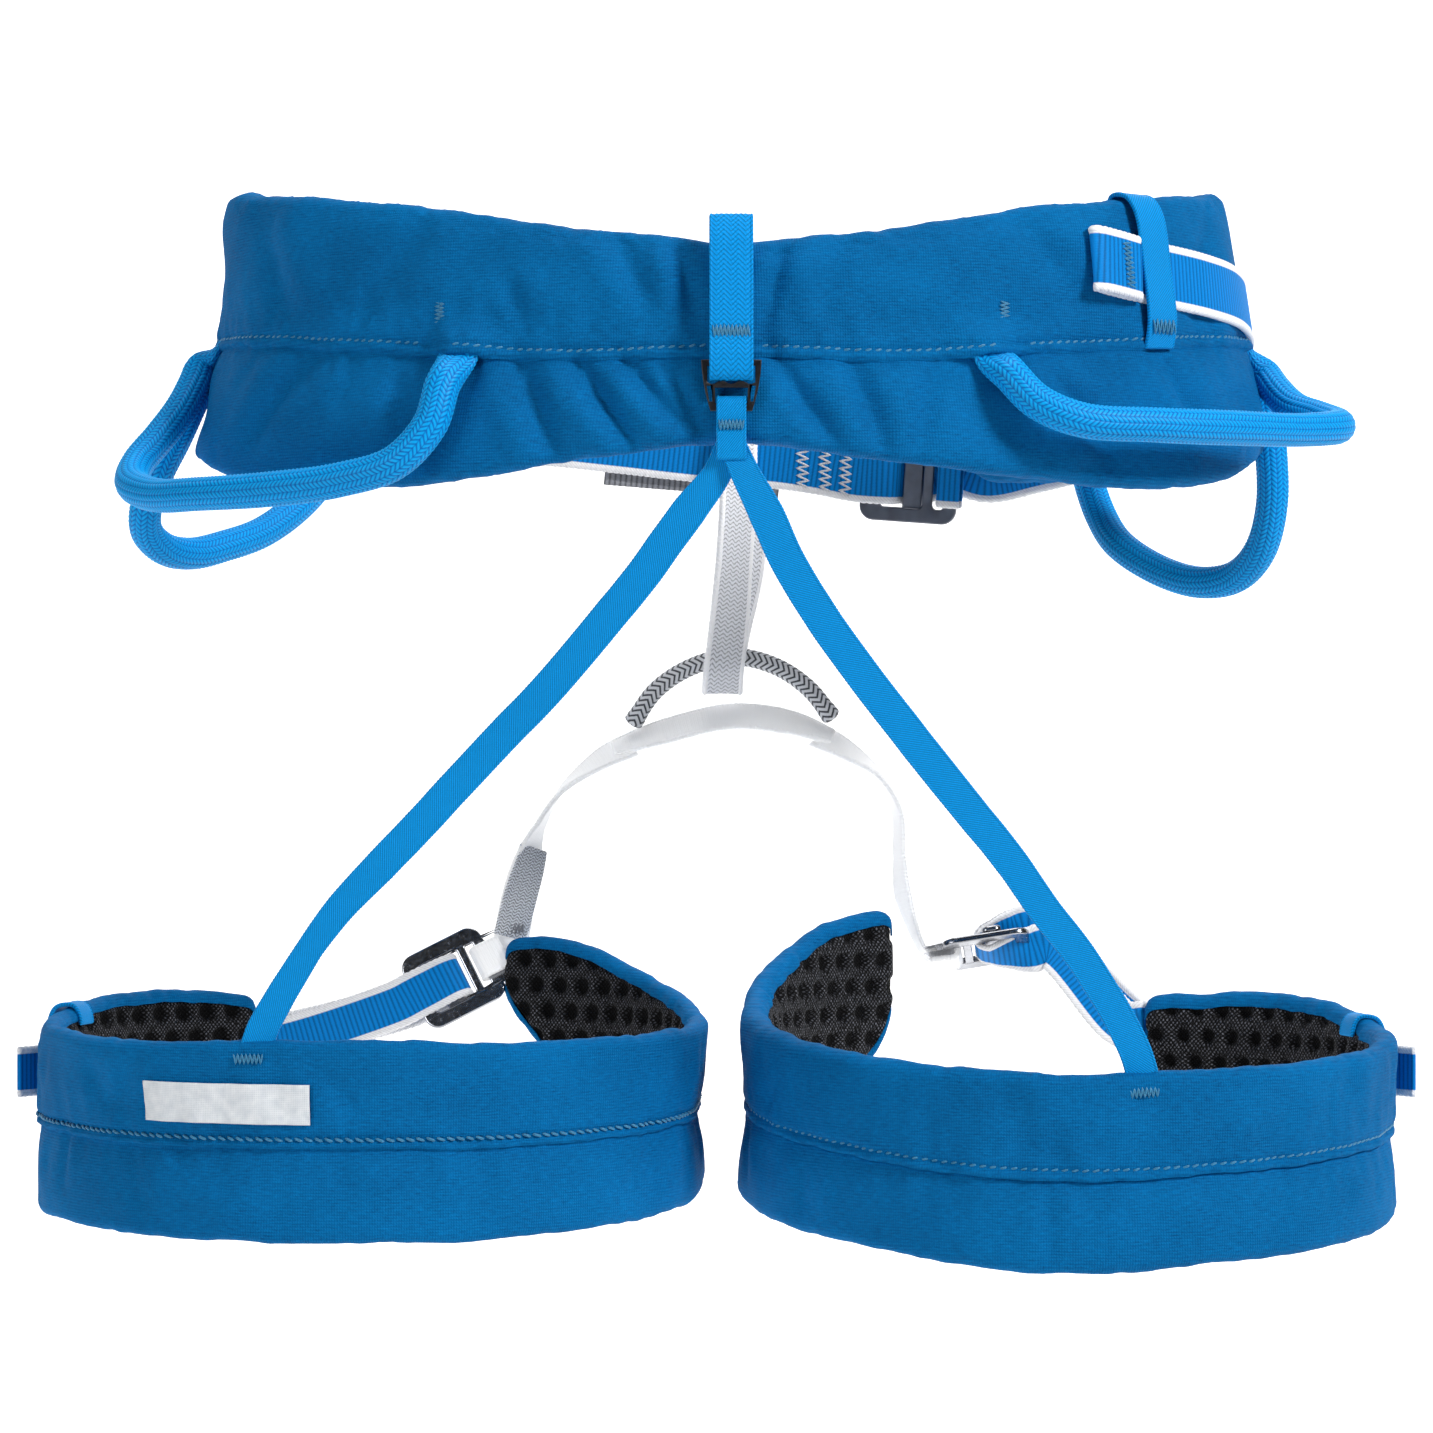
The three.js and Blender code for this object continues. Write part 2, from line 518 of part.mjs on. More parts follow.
function makeLegStrap(name, leg) {
  const buckle = BUCKLES[name];
  const { v } = buckleAxes(buckle);
  const flat = [v.x, v.y, v.z].map((c) => c * Math.sign(v.z || 1) * (Math.abs(v.z) > 0.3 ? 1 : -1));
  const end = leg.outerEnd;
  const start = [[end + 0.7, -3.4], [end + 5, -3.4]];
  const middle = (leg.top(end) + leg.bottom(end)) / 2;
  const through = [[-22, -1.6], [-15, -1.5], [-8, -1.4], [-1, -1.2], [2.4, 0.6], [3.1, 3.4], [1.6, 6],
    [-3, 6.4], [-10, 6.2], [-17, 5.8]];
  const onPadding = [end - 3, 142, 130, 118, 108].map((angle) => [angle, LEG_TAIL_LIFT]);
  const tail = [[end + 3, 1.9], ...onPadding, [100, 1.6], [94, 5], [90.5, 11]];
  const tailShare = (angle) => Math.max(0, (angle - 100) / (end - 100));
  const tailHeight = (angle) => THREE.MathUtils.lerp(LEG_TAIL_END_Z, middle, tailShare(angle));
  const points = [
    ...start.map(([angle, outset]) => legPoint(leg, angle, middle, outset)),
    ...through.map(([along, out]) => inBuckle(buckle, along, out)),
    ...tail.map(([angle, outset]) => legPoint(leg, angle, tailHeight(angle), outset)),
  ];
  const upright = (list) => list.map(() => [0, 0, 1]);
  const across = [...upright(start), ...through.map(() => flat), ...upright(tail)];
  addMesh(`leg_strap_${name}`, ribbon(points, LEG_WEBBING, { across, steps: 2 }), COLOURS.webbing);
  makeBuckle(`leg_buckle_${name}`, buckle);
}

function makeLegKeeper(name, leg) {
  const layout = { top: leg.top(LEG_KEEPER.angle), inner: -8.4, inside: -9.9, outside: 3.4 };
  const place = (degrees, z, outset) => legPoint(leg, degrees, z, outset);
  addMesh(`leg_keeper_${name}`, keeper(place, LEG_KEEPER, layout), COLOURS.riser);
}

function makeLabel() {
  const { from, to, low, high, outer } = LABEL;
  const section = [[low, outer], [high, outer], [high, GAP], [low, GAP]];
  const steps = 6;
  const rings = [];
  for (let i = 0; i <= steps; i++) {
    const angle = to + ((from - to) * i) / steps;
    rings.push(section.map(([z, out]) => vec(legPoint(LEGS.left, angle, z, out))));
  }
  addMesh("leg_loop_label", loft(rings), COLOURS.label);
}

// ---------------------------------------------------------------- gear loops
const GEAR_LOOPS = {
  rear_left: [[-86.5, -99.5, -2.4], [-87, -102, -12.6], [-90.7, -105, -24.8], [-101, -104, -35.8],
    [-118.3, -97, -40.8], [-140.6, -85, -43], [-163.8, -69, -43.6], [-180, -51, -43], [-189, -36, -38.5],
    [-188.5, -25, -31.5], [-182.5, -17, -22.5], [-176.6, -10, -13], [-173, -4, -4.5], [-170.8, -1, 1.5]],
  rear_right: [[81, -99.5, -2.4], [83, -102.5, -9.6], [91, -105, -17.9], [104, -105, -23.3],
    [127, -97, -24.3], [151, -81, -24.1], [177, -56, -23.1], [190.4, -39, -20.8], [186.5, -27, -17.5],
    [179.5, -17, -13.6], [174.6, -9, -7.4], [171.6, -3, -1.8]],
  front_left: [[-171.8, 14, -0.5], [-176, 14, -9], [-181.5, 12, -21.9], [-187, 10, -33.4],
    [-190.8, 12, -43.1], [-191.6, 18, -51], [-187.2, 26, -56.6], [-179, 36, -58], [-168.8, 46, -55],
    [-158.2, 57, -50.3], [-148.5, 67, -42.4], [-141, 76, -33.1], [-136, 81.5, -24], [-133, 82.5, -16]],
  front_right: [[172.8, 14, -3], [174.2, 14, -10], [175.8, 13, -24.7], [176.4, 15, -42.6], [173.6, 22, -57],
    [167.3, 32, -65.4], [157, 42, -67.4], [145.5, 53, -63.9], [132.3, 67.5, -54.5], [127, 80, -44.8],
    [123.2, 86.5, -33], [121, 89.5, -22]],
};

function makeGearLoop(name, points) {
  const curve = new THREE.CatmullRomCurve3(points.map(vec), false, "centripetal");
  const { outer, inner, core } = GEAR_TUBE;
  addMesh(`gear_loop_${name}_sheath`, hollowTube(curve, outer, inner, 8, 24), COLOURS.gear);
  addMesh(`gear_loop_${name}_core`, loft(tubeRings(curve, core, 8, 24, 0.01, 0.99)), COLOURS.core);
}

// ---------------------------------------------------------------- assembly
makeWaistBelt();
makeWaistWebbing();
makeWaistKeeper();
makeHaulLoop();
makeHook();
makeRiserTopLoop();
makeBelayLoop();
makeTieInPoints();
for (const [name, points] of Object.entries(GEAR_LOOPS)) {
  makeGearLoop(name, points);
}
for (const [name, leg] of Object.entries(LEGS)) {
  makeLegLoop(name, leg);
  makeRiser(name);
  makeLegWeb(name);
  makeLegStrap(name, leg);
  makeLegKeeper(name, leg);
}
makeLabel();

export default harness;
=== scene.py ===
import bpy
import numpy as np
from mathutils import Matrix, Vector
from mathutils.kdtree import KDTree


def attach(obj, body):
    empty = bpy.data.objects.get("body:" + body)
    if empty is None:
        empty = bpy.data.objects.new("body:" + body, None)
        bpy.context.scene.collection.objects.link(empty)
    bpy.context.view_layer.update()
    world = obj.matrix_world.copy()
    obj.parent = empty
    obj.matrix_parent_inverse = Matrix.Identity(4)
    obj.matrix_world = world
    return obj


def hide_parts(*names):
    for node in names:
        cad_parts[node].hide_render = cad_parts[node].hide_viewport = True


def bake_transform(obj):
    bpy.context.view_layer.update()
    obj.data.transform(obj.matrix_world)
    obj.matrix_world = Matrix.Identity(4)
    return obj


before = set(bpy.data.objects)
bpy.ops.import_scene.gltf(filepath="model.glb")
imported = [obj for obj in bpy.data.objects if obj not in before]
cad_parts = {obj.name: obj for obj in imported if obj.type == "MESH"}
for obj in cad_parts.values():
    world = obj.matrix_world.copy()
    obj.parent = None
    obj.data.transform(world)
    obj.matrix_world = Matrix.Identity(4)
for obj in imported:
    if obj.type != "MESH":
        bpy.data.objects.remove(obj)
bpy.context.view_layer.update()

MM = 0.001

# ---------------------------------------------------------------- camera and light
CAMERA_PLACE = (-0.005, -1.4, -0.112)
CAMERA_LENS = 108.85
SENSOR = 36
FLOOR_Z = -0.62

# ---------------------------------------------------------------- sizes, in millimetres
STITCH_PITCH = 3.1
EDGE_RADIUS = 3.3  # of the shells' rolled edges
FOLD_DROP = 2.7  # from the stitches down to the fold's edge
CUSHION_FRAMES = 20
MOST_MOVE = 1.8  # of the filled cushion's surface
SHELL_CLOTH, LINING_CLOTH, LABEL_CLOTH = 0.7, 0.8, 0.5
DENT_PITCH = 10.0  # of the round dents in the spacer mesh, along the band
DENT_ROW = DENT_PITCH * 0.866
DENT_RADIUS = 3.4
ROPE_PITCH = 0.62  # of a webbing's roped edge, as a share of its ribs' pitch
WAVES_TURN, WAVES_SWING = 2.4, 0.5  # of the belay loop's wavy weave, across and along it
GEAR_RADIUS = 5.1
PLAITS = 16
BRAID_PITCH, BRAID_SLANT = 1.5, 1.1
ZIGZAG_PITCH, ZIGZAG_SLANT = 2.1, 0.9
PLATE = 2.2  # the buckles' frames
SLIDER_LIFT = 2.8
SLIDER_THICKNESS = 2
KEEPER_INSIDE = -9.6  # how deep a keeper runs behind the padding's outside
LEG_TAIL_LIFT = 1.35
LEG_TAIL_END_Z = -227


def srgb(red, green, blue):
    """Linear colour from 0 to 255 display values."""
    values = np.array([red, green, blue]) / 255
    linear = np.where(values <= 0.04045, values / 12.92, ((values + 0.055) / 1.055) ** 2.4)
    return (*(float(c) for c in linear), 1.0)


# ---------------------------------------------------------------- curves
def unit(vectors):
    return vectors / np.maximum(np.linalg.norm(vectors, axis=-1, keepdims=True), 1e-9)


def dense_curve(control, closed=False, per_span=24):
    """Points along a centripetal curve through the control points, and each one's place among them."""
    p = np.asarray(control, float)
    if closed:
        extended = np.concatenate([p[-1:], p, p[:2]])
    else:
        extended = np.concatenate([[2 * p[0] - p[1]], p, [2 * p[-1] - p[-2]]])
    p0, p1, p2, p3 = extended[:-3], extended[1:-2], extended[2:-1], extended[3:]
    pairs = ((p0, p1), (p1, p2), (p2, p3))
    d0, d1, d2 = (np.sqrt(np.linalg.norm(b - a, axis=1, keepdims=True)) for a, b in pairs)
    t1 = ((p1 - p0) / d0 - (p2 - p0) / (d0 + d1) + (p2 - p1) / d1) * d1
    t2 = ((p2 - p1) / d1 - (p3 - p1) / (d1 + d2) + (p3 - p2) / d2) * d1
    w = np.arange(per_span)[None, :, None] / per_span
    cubic = [p1, t1, -3 * p1 + 3 * p2 - 2 * t1 - t2, 2 * p1 - 2 * p2 + t1 + t2]
    points = sum(c[:, None, :] * w**i for i, c in enumerate(cubic)).reshape(-1, p.shape[1])
    points = np.concatenate([points, (p2 if closed else p)[-1:]])
    return points, np.arange(len(points)) / per_span


def profile(pairs):
    """A smooth function of the angle through [angle, value] pairs, mirrored if they start at 0."""
    fine, _ = dense_curve(pairs, per_span=10)
    mirrored = pairs[0][0] == 0
    return lambda angle: np.interp(np.abs(angle) if mirrored else angle, fine[:, 0], fine[:, 1])


def spread(at, known, values):
    """Each column of values, known at some places, read at others."""
    return np.stack([np.interp(at, known, values[:, i]) for i in range(values.shape[1])], axis=1)


def even_path(control, step, hints, closed=False):
    """Even points along a curve, their directions, the hints turned with them, and the distances."""
    dense, place = dense_curve(control, closed)
    lengths = np.concatenate([[0], np.cumsum(np.linalg.norm(np.diff(dense, axis=0), axis=1))])
    at = np.linspace(0, lengths[-1], max(3, int(round(lengths[-1] / step)) + 1))
    points = spread(at, lengths, dense)
    hints = np.asarray(hints, float)
    if hints.ndim == 1:
        hints = np.tile(hints, (len(control), 1))
    if closed:
        hints = np.concatenate([hints, hints[:1]])
    turned = spread(np.interp(at, lengths, place), np.arange(len(hints)), hints)
    if closed:
        along = np.roll(points[:-1], -1, 0) - np.roll(points[:-1], 1, 0)
        along = np.concatenate([along, along[:1]])
    else:
        along = np.gradient(points, axis=0)
    return points, unit(along), turned, at


def value_noise(u, v, seed):
    """Smooth noise from -1 to 1 with features about one unit across."""
    lattice = np.random.RandomState(seed).uniform(-1, 1, (97, 97))
    iu, iv = np.floor(u).astype(int), np.floor(v).astype(int)
    fu, fv = u - iu, v - iv
    fu, fv = fu * fu * (3 - 2 * fu), fv * fv * (3 - 2 * fv)
    a, b = lattice[iu % 97, iv % 97], lattice[(iu + 1) % 97, iv % 97]
    c, d = lattice[iu % 97, (iv + 1) % 97], lattice[(iu + 1) % 97, (iv + 1) % 97]
    return (a * (1 - fu) + b * fu) * (1 - fv) + (c * (1 - fu) + d * fu) * fv


def step_between(low, high, value):
    t = np.clip((value - low) / (high - low), 0, 1)
    return t * t * (3 - 2 * t)


# ---------------------------------------------------------------- meshes
def place_object(name, data):
    thing = bpy.data.objects.new(name, data)
    bpy.context.scene.collection.objects.link(thing)
    return thing


def add_object(name, mesh, material, slot, body=None, stands_for=()):
    """A piece on its body, in the place of the CAD nodes that it stands for; slot is not used."""
    thing = place_object(name, mesh)
    mesh.materials.append(material)
    if stands_for:
        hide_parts(*stands_for)
    if body:
        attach(thing, body)
    return thing


def thicken(thing, thickness, offset=-1):
    solid = thing.modifiers.new("thickness", "SOLIDIFY")
    solid.thickness = thickness * MM
    solid.offset = offset


def mesh_from(name, points, faces, corner_uvs=None):
    """A smooth mesh from points in millimetres and faces of equally many corners."""
    mesh = bpy.data.meshes.new(name)
    faces = np.asarray(faces, np.int32)
    mesh.vertices.add(len(points))
    mesh.vertices.foreach_set("co", (np.asarray(points) * MM).astype(np.float32).ravel())
    mesh.loops.add(faces.size)
    mesh.loops.foreach_set("vertex_index", faces.ravel())
    mesh.polygons.add(len(faces))
    mesh.polygons.foreach_set("loop_start", np.arange(0, faces.size, faces.shape[1], dtype=np.int32))
    mesh.update(calc_edges=True)
    mesh.polygons.foreach_set("use_smooth", np.ones(len(faces), bool))
    if corner_uvs is not None:
        layer = mesh.uv_layers.new(name="UVMap")
        layer.data.foreach_set("uv", corner_uvs.astype(np.float32).ravel())
    return mesh


def grid_mesh(name, grid, us, vs, wrap_rows=False, wrap_ring=False, flip=False):
    """A mesh over a grid of points, rows by ring. us and vs hold one more value where the grid wraps."""
    rows, ring = grid.shape[:2]
    i = np.arange(rows if wrap_rows else rows - 1)[:, None]
    k = np.arange(ring if wrap_ring else ring - 1)[None, :]
    corners = [(i, k), (i + 1, k), (i + 1, k + 1), (i, k + 1)]
    if flip:
        corners.reverse()
    faces = np.stack([(a % rows) * ring + b % ring for a, b in corners], axis=-1).reshape(-1, 4)
    us, vs = np.asarray(us, float), np.asarray(vs, float)
    u_at = us if us.ndim == 2 else np.repeat(us[:, None], ring + 1, axis=1)
    v_at = vs if vs.ndim == 2 else np.repeat(vs[None, :], len(us), axis=0)
    shape = np.broadcast(i, k).shape
    at_corners = [[np.broadcast_to(f[a, b], shape) for a, b in corners] for f in (u_at, v_at)]
    uvs = np.stack([np.stack(values, axis=-1) for values in at_corners], axis=-1)
    return mesh_from(name, grid.reshape(-1, 3), faces, uvs.reshape(-1, 2))


def thread_tubes(lines, radius, hint, sides=6):
    """Points and faces of round threads along lines, an array of lines by points by 3."""
    lines = np.asarray(lines, float)
    count, length = lines.shape[:2]
    along = unit(np.gradient(lines, axis=1))
    hint = np.broadcast_to(np.asarray(hint, float), lines.shape)
    side = unit(np.cross(along, hint))
    up = np.cross(side, along)
    turn = 2 * np.pi * np.arange(sides)[:, None] / sides
    thin = np.ones(length)
    thin[[0, -1]] = 0.35
    spokes = side[:, :, None, :] * np.cos(turn) + up[:, :, None, :] * np.sin(turn)
    rings = lines[:, :, None, :] + radius * thin[None, :, None, None] * spokes
    n = np.arange(count)[:, None, None] * length * sides
    i = np.arange(length - 1)[None, :, None]
    k = np.arange(sides)[None, None, :]
    corners = [(i, k), (i, (k + 1) % sides), (i + 1, (k + 1) % sides), (i + 1, k)]
    faces = np.stack([n + a * sides + b for a, b in corners], axis=-1)
    return rings.reshape(-1, 3), faces.reshape(-1, 4)


def joined(parts):
    """One set of points and faces from several."""
    points = np.concatenate([p for p, _ in parts])
    starts = np.cumsum([0] + [len(p) for p, _ in parts[:-1]])
    return points, np.concatenate([f + s for (_, f), s in zip(parts, starts)])


def bartack(centre, along, across, length, width, pitch=1.1, radius=0.28):
    """A zigzag of thread, running along one direction and swinging across the other."""
    along, across = unit(np.asarray(along, float)), unit(np.asarray(across, float))
    normal = unit(np.cross(along, across))
    swings = max(3, int(round(2 * length / pitch)))
    share = np.linspace(-0.5, 0.5, swings * 4 + 1)
    side = 2 * np.abs((share + 0.5) * swings % 2 - 1) - 1
    line = np.asarray(centre, float) + np.outer(share * length, along)
    line = line + np.outer(side * width / 2, across)
    line += np.outer(0.25 * np.cos(side * np.pi / 2), normal)
    return thread_tubes(line[None], radius, normal)


def thread_object(name, parts, material, slot, body):
    points, faces = joined(parts)
    return add_object(name, mesh_from(name, points, faces), material, slot, body)


# ---------------------------------------------------------------- materials
class Value:
    """A node's output. Arithmetic with it adds maths nodes."""

    def __init__(self, nodes, socket):
        self.nodes, self.socket = nodes, socket

    def __add__(self, other):
        return self.nodes.maths("ADD", self, other)

    def __sub__(self, other):
        return self.nodes.maths("SUBTRACT", self, other)

    def __mul__(self, other):
        return self.nodes.maths("MULTIPLY", self, other)

    def __truediv__(self, other):
        return self.nodes.maths("DIVIDE", self, other)


class Nodes:
    """A node tree, with short ways to add to it."""

    def __init__(self, tree):
        self.tree = tree

    def put(self, socket, value):
        if isinstance(value, Value):
            self.tree.links.new(value.socket, socket)
        else:
            socket.default_value = value

    def add(self, kind, inputs, out=0, **settings):
        """One output of a new node, whose inputs are given in order or by number or name."""
        node = self.tree.nodes.new("ShaderNode" + kind)
        for setting, value in settings.items():
            setattr(node, setting, value)
        for key, value in inputs.items() if isinstance(inputs, dict) else enumerate(inputs):
            self.put(node.inputs[key], value)
        return Value(self, node.outputs[out])

    def maths(self, operation, *values):
        return self.add("Math", values, operation=operation)

    def place(self, kind="Object"):
        return self.add("TexCoord", (), kind)

    def parts(self, vector):
        node = self.tree.nodes.new("ShaderNodeSeparateXYZ")
        self.put(node.inputs[0], vector)
        return [Value(self, socket) for socket in node.outputs]

    def vector(self, *parts):
        return self.add("CombineXYZ", parts)

    def noise(self, vector, scale=1.0, detail=2.0, roughness=0.5):
        inputs = {"Vector": vector, "Scale": scale, "Detail": detail, "Roughness": roughness}
        return self.add("TexNoise", inputs, "Fac")

    def mix(self, share, a, b):
        return self.add("Mix", {0: share, 6: a, 7: b}, 2, data_type="RGBA")

    def between(self, value, low, high, new_low=0.0, new_high=1.0):
        return self.add("MapRange", (value, low, high, new_low, new_high))

    def ridge(self, phase):
        """Rounded ridges, one for each whole number of the phase."""
        return self.maths("ABSOLUTE", self.maths("SINE", phase * float(np.pi)))


class Finish(Nodes):
    """A material: its principled shader and the nodes in front of it."""

    def __init__(self, name, **sockets):
        self.material = bpy.data.materials.new(name)
        self.material.use_nodes = True
        super().__init__(self.material.node_tree)
        for socket, value in sockets.items():
            self.set(socket.replace("_", " "), value)

    def set(self, socket, value):
        self.put(self.tree.nodes["Principled BSDF"].inputs[socket], value)

    def uv(self):
        return self.parts(self.place("UV"))[:2]

    def bump(self, height, distance, strength):
        inputs = {"Height": height, "Distance": distance * MM, "Strength": strength}
        self.set("Normal", self.add("Bump", inputs))


def darker(colour, share):
    return tuple(c * share for c in colour[:3]) + (1.0,)


def shell_finish():
    """Plain-woven shell cloth, heathered along the weft, with a faint bloom."""
    f = Finish("shell_fabric", Roughness=0.75, Sheen_Weight=0.03, Sheen_Roughness=0.4,
               Specular_IOR_Level=0.05)
    f.set("Sheen Tint", srgb(90, 190, 240))
    u, v = f.uv()
    streaks = f.noise(f.vector(u * 0.3, v * 2.0), detail=5, roughness=0.7)
    flecks = f.noise(f.vector(u * 1.3, v * 1.3), detail=3, roughness=0.7)
    cloudy = f.noise(f.vector(u * 0.02, v * 0.04))
    weave = f.ridge(v * 1.1) * f.ridge(u * 1.25)
    tone = streaks * 0.7 + cloudy * 0.3 + flecks * 0.3
    base = f.mix(f.between(tone, 0.48, 0.86), srgb(0, 68, 120), srgb(2, 116, 184))
    f.set("Base Color", f.mix(weave * 0.22, base, srgb(24, 146, 208)))
    f.set("Roughness", f.between(streaks, 0.3, 0.7, 0.66, 0.84))
    f.bump(weave * 0.7 + flecks * 0.7 + streaks * 0.6, 0.2, 0.85)
    return f.material


def webbing_finish(name, body, edge, half, edge_width, pitch, kind, groove=0.55, low=0.34, span=(0.1, 0.75),
                   painted_glow=0.0):
    """Woven webbing: u runs along it in millimetres and v across it, from -1 to 1."""
    f = Finish(name, Roughness=0.6, Sheen_Weight=0.03, Sheen_Roughness=0.35, Specular_IOR_Level=0.1)
    u, v = f.uv()
    across = v * half
    yarn = f.noise(f.vector(u * 1.6, across * 2.6), detail=3)
    if kind == "ribs":
        phase, fine = u / pitch, across * 2.0
    elif kind == "twill":
        phase, fine = (u + across) / pitch, (u - across) / (pitch * 0.8)
    elif kind == "herringbone":
        phase, fine = (u + f.maths("PINGPONG", across, half / 3)) / pitch, across / (half / 3)
    else:
        phase = (u + f.maths("SINE", across * WAVES_TURN) * WAVES_SWING) / pitch
        fine = across * 1.2
    ridge = f.ridge(phase)
    # Painted shade: the cloth darkens towards darker(body, low) between the weave's ridges, weighted by
    # groove; the yarn noise adds the yarn's own tone
    cloth = f.mix(f.between(ridge * groove + yarn * 0.5, *span), darker(body, low), body)
    if edge is not None:
        border = half - edge_width
        on_edge = f.between(f.maths("ABSOLUTE", across), border - 0.15, border + 0.15)
        # Painted shade in the roped edge: darker between its twists
        rope = f.ridge((u + across) / (pitch * ROPE_PITCH))
        cloth = f.mix(on_edge, cloth, f.mix(f.between(rope, 0.05, 0.6), darker(edge, 0.78), edge))
    f.set("Base Color", cloth)
    if painted_glow:  # painted glow: emission makes the pale threads brighter than the lamps alone would, though they are no lamp
        f.set("Emission Color", cloth)
        f.set("Emission Strength", painted_glow)
    f.set("Roughness", f.between(yarn, 0.3, 0.7, 0.45, 0.68))
    f.bump(ridge * 0.7 + f.ridge(fine) * 0.3, 0.14, 0.9)
    return f.material


def braid_finish():
    """The gear loops' braided sheath; v counts the plaits round it."""
    f = Finish("gear_loop_braid", Roughness=0.5, Sheen_Weight=0.03, Specular_IOR_Level=0.14)
    u, v = f.uv()
    strand = f.ridge(u / BRAID_PITCH + f.maths("PINGPONG", v, 1.0) * BRAID_SLANT)
    yarn = f.noise(f.vector(u * 1.2, v * 3.0))
    # Painted shade between the plait columns and in the gaps between strands; the light blue paints
    # highlights on the strands' crests
    strand = strand * f.between(f.ridge(v), 0.0, 0.5, 0.35, 1.0)
    shade = f.between(strand * 0.7 + yarn * 0.4, 0.2, 0.85)
    f.set("Base Color", f.mix(shade, srgb(0, 94, 184), srgb(0, 168, 238)))
    f.set("Roughness", f.between(yarn, 0.3, 0.7, 0.36, 0.55))
    f.bump(strand, 0.16, 0.7)
    return f.material


def sleeve_finish():
    """The lower tie-in point's sleeve, woven in zigzags of dark grey and white."""
    f = Finish("protector_tube", Roughness=0.6, Sheen_Weight=0.15)
    u, v = f.uv()
    swing = f.maths("PINGPONG", v * 0.5, 1.0)
    wave = f.ridge(u / ZIGZAG_PITCH + swing * ZIGZAG_SLANT)
    yarn = f.noise(f.vector(u * 2.0, v * 2.0), detail=3)
    shade = f.between(wave + yarn * 0.3, 0.55, 0.9)
    f.set("Base Color", f.mix(shade, srgb(66, 68, 74), srgb(226, 227, 230)))
    f.bump(wave, 0.25, 0.8)
    return f.material


def lining_finish():
    """Black spacer mesh: a fine knitted net, with painted highlights speckled where its threads catch light
    and painted shade in its dents.
    """
    f = Finish("mesh_lining", Roughness=0.7, Sheen_Weight=0.03, Specular_IOR_Level=0.1)
    u, v = f.uv()
    net = f.ridge((u + v) / 1.5) * f.ridge((u - v) / 1.5)
    speck = f.noise(f.vector(u * 1.4, v * 1.4), detail=4)
    shade = f.between(net, 0.3, 0.85) * f.between(speck, 0.4, 0.62)
    rows = v / DENT_ROW
    shift = f.maths("PINGPONG", f.maths("FLOOR", rows), 1.0) * 0.5
    x = f.maths("FRACT", u / DENT_PITCH + shift) - 0.5
    y = f.maths("FRACT", rows) - 0.5
    away = f.add("VectorMath", (f.vector(x * DENT_PITCH, y * DENT_ROW),), "Value", operation="LENGTH")
    outside = f.between(away, DENT_RADIUS - 1.2, DENT_RADIUS + 0.6, 0.06, 1.0)
    # painted highlights on the net's threads, and painted shade in the dents, where outside falls to 0.06
    f.set("Base Color", f.mix(shade * outside, srgb(5, 5, 6), srgb(112, 114, 122)))
    f.bump(net, 0.3, 0.9)
    return f.material


def metal_finish(name, colour, roughness, scratch):
    f = Finish(name, Metallic=1.0, Roughness=roughness)
    brushed = f.noise(f.place(), 900.0, 3.0)
    broad = f.noise(f.place(), 120.0, 2.0)
    f.set("Base Color", f.mix(f.between(broad, 0.35, 0.65), darker(colour, 0.7), colour))
    f.set("Roughness", f.between(brushed, 0.3, 0.7, roughness, roughness + scratch))
    f.bump(brushed, 0.02, 0.5)
    return f.material


def plastic_finish():
    f = Finish("black_plastic", Roughness=0.4, Specular_IOR_Level=0.5)
    grain = f.noise(f.place(), 1600.0, 3.0)
    f.set("Base Color", f.mix(grain, srgb(9, 9, 11), srgb(30, 30, 34)))
    f.set("Roughness", f.between(grain, 0.3, 0.7, 0.32, 0.5))
    f.bump(grain, 0.03, 0.6)
    return f.material


def thread_finish(name, colour):
    f = Finish(name, Roughness=0.5, Sheen_Weight=0.2)
    twist = f.noise(f.place(), 2500.0, 2.0)
    f.set("Base Color", f.mix(f.between(twist, 0.35, 0.65), darker(colour, 0.6), colour))
    f.bump(twist, 0.08, 0.8)
    return f.material


def label_finish():
    """A blank woven label."""
    f = Finish("label", Roughness=0.6, Sheen_Weight=0.1)
    u, v = f.uv()
    weave = f.ridge(u * 1.8) * f.ridge(v * 1.8)
    worn = f.noise(f.vector(u * 0.3, v * 0.3), detail=3)
    tone = f.mix(f.between(worn, 0.3, 0.7), srgb(214, 220, 226), srgb(238, 241, 244))
    f.set("Base Color", f.mix(weave * 0.3, tone, srgb(160, 172, 186)))
    f.bump(weave, 0.1, 0.8)
    return f.material


SHELL = shell_finish()
BRAID = braid_finish()
SLEEVE = sleeve_finish()
LINING = lining_finish()
PLASTIC = plastic_finish()
DARK_STEEL = metal_finish("dark_steel", srgb(120, 124, 134), 0.28, 0.16)
BRIGHT_STEEL = metal_finish("bright_steel", srgb(178, 180, 186), 0.16, 0.12)
LABEL = label_finish()
TEAL_THREAD = thread_finish("thread_teal", srgb(46, 138, 184))
WHITE_THREAD = thread_finish("thread_white", srgb(238, 240, 244))
GREY_THREAD = thread_finish("thread_grey", srgb(150, 152, 158))
BLUE = srgb(2, 134, 218)
BRIGHT_BLUE = srgb(0, 150, 228)
WHITE = srgb(248, 248, 250)
BRIGHT_WHITE = srgb(252, 252, 252)
PALE_GREY = srgb(226, 227, 232)
COOL_GREY = srgb(226, 229, 235)
MID_GREY = srgb(150, 152, 158)


# ---------------------------------------------------------------- webbing
def style(slot, material, colour, edge_colour, half, border, pitch, kind, look=None, **shape):
    """What all webbing of one sort shares: its slot, weave, finish and modelled shape."""
    finish = webbing_finish(material, colour, edge_colour, half, border, pitch, kind, **(look or {}))
    return {"slot": slot, "finish": finish, "pitch": pitch, "kind": kind, **shape}


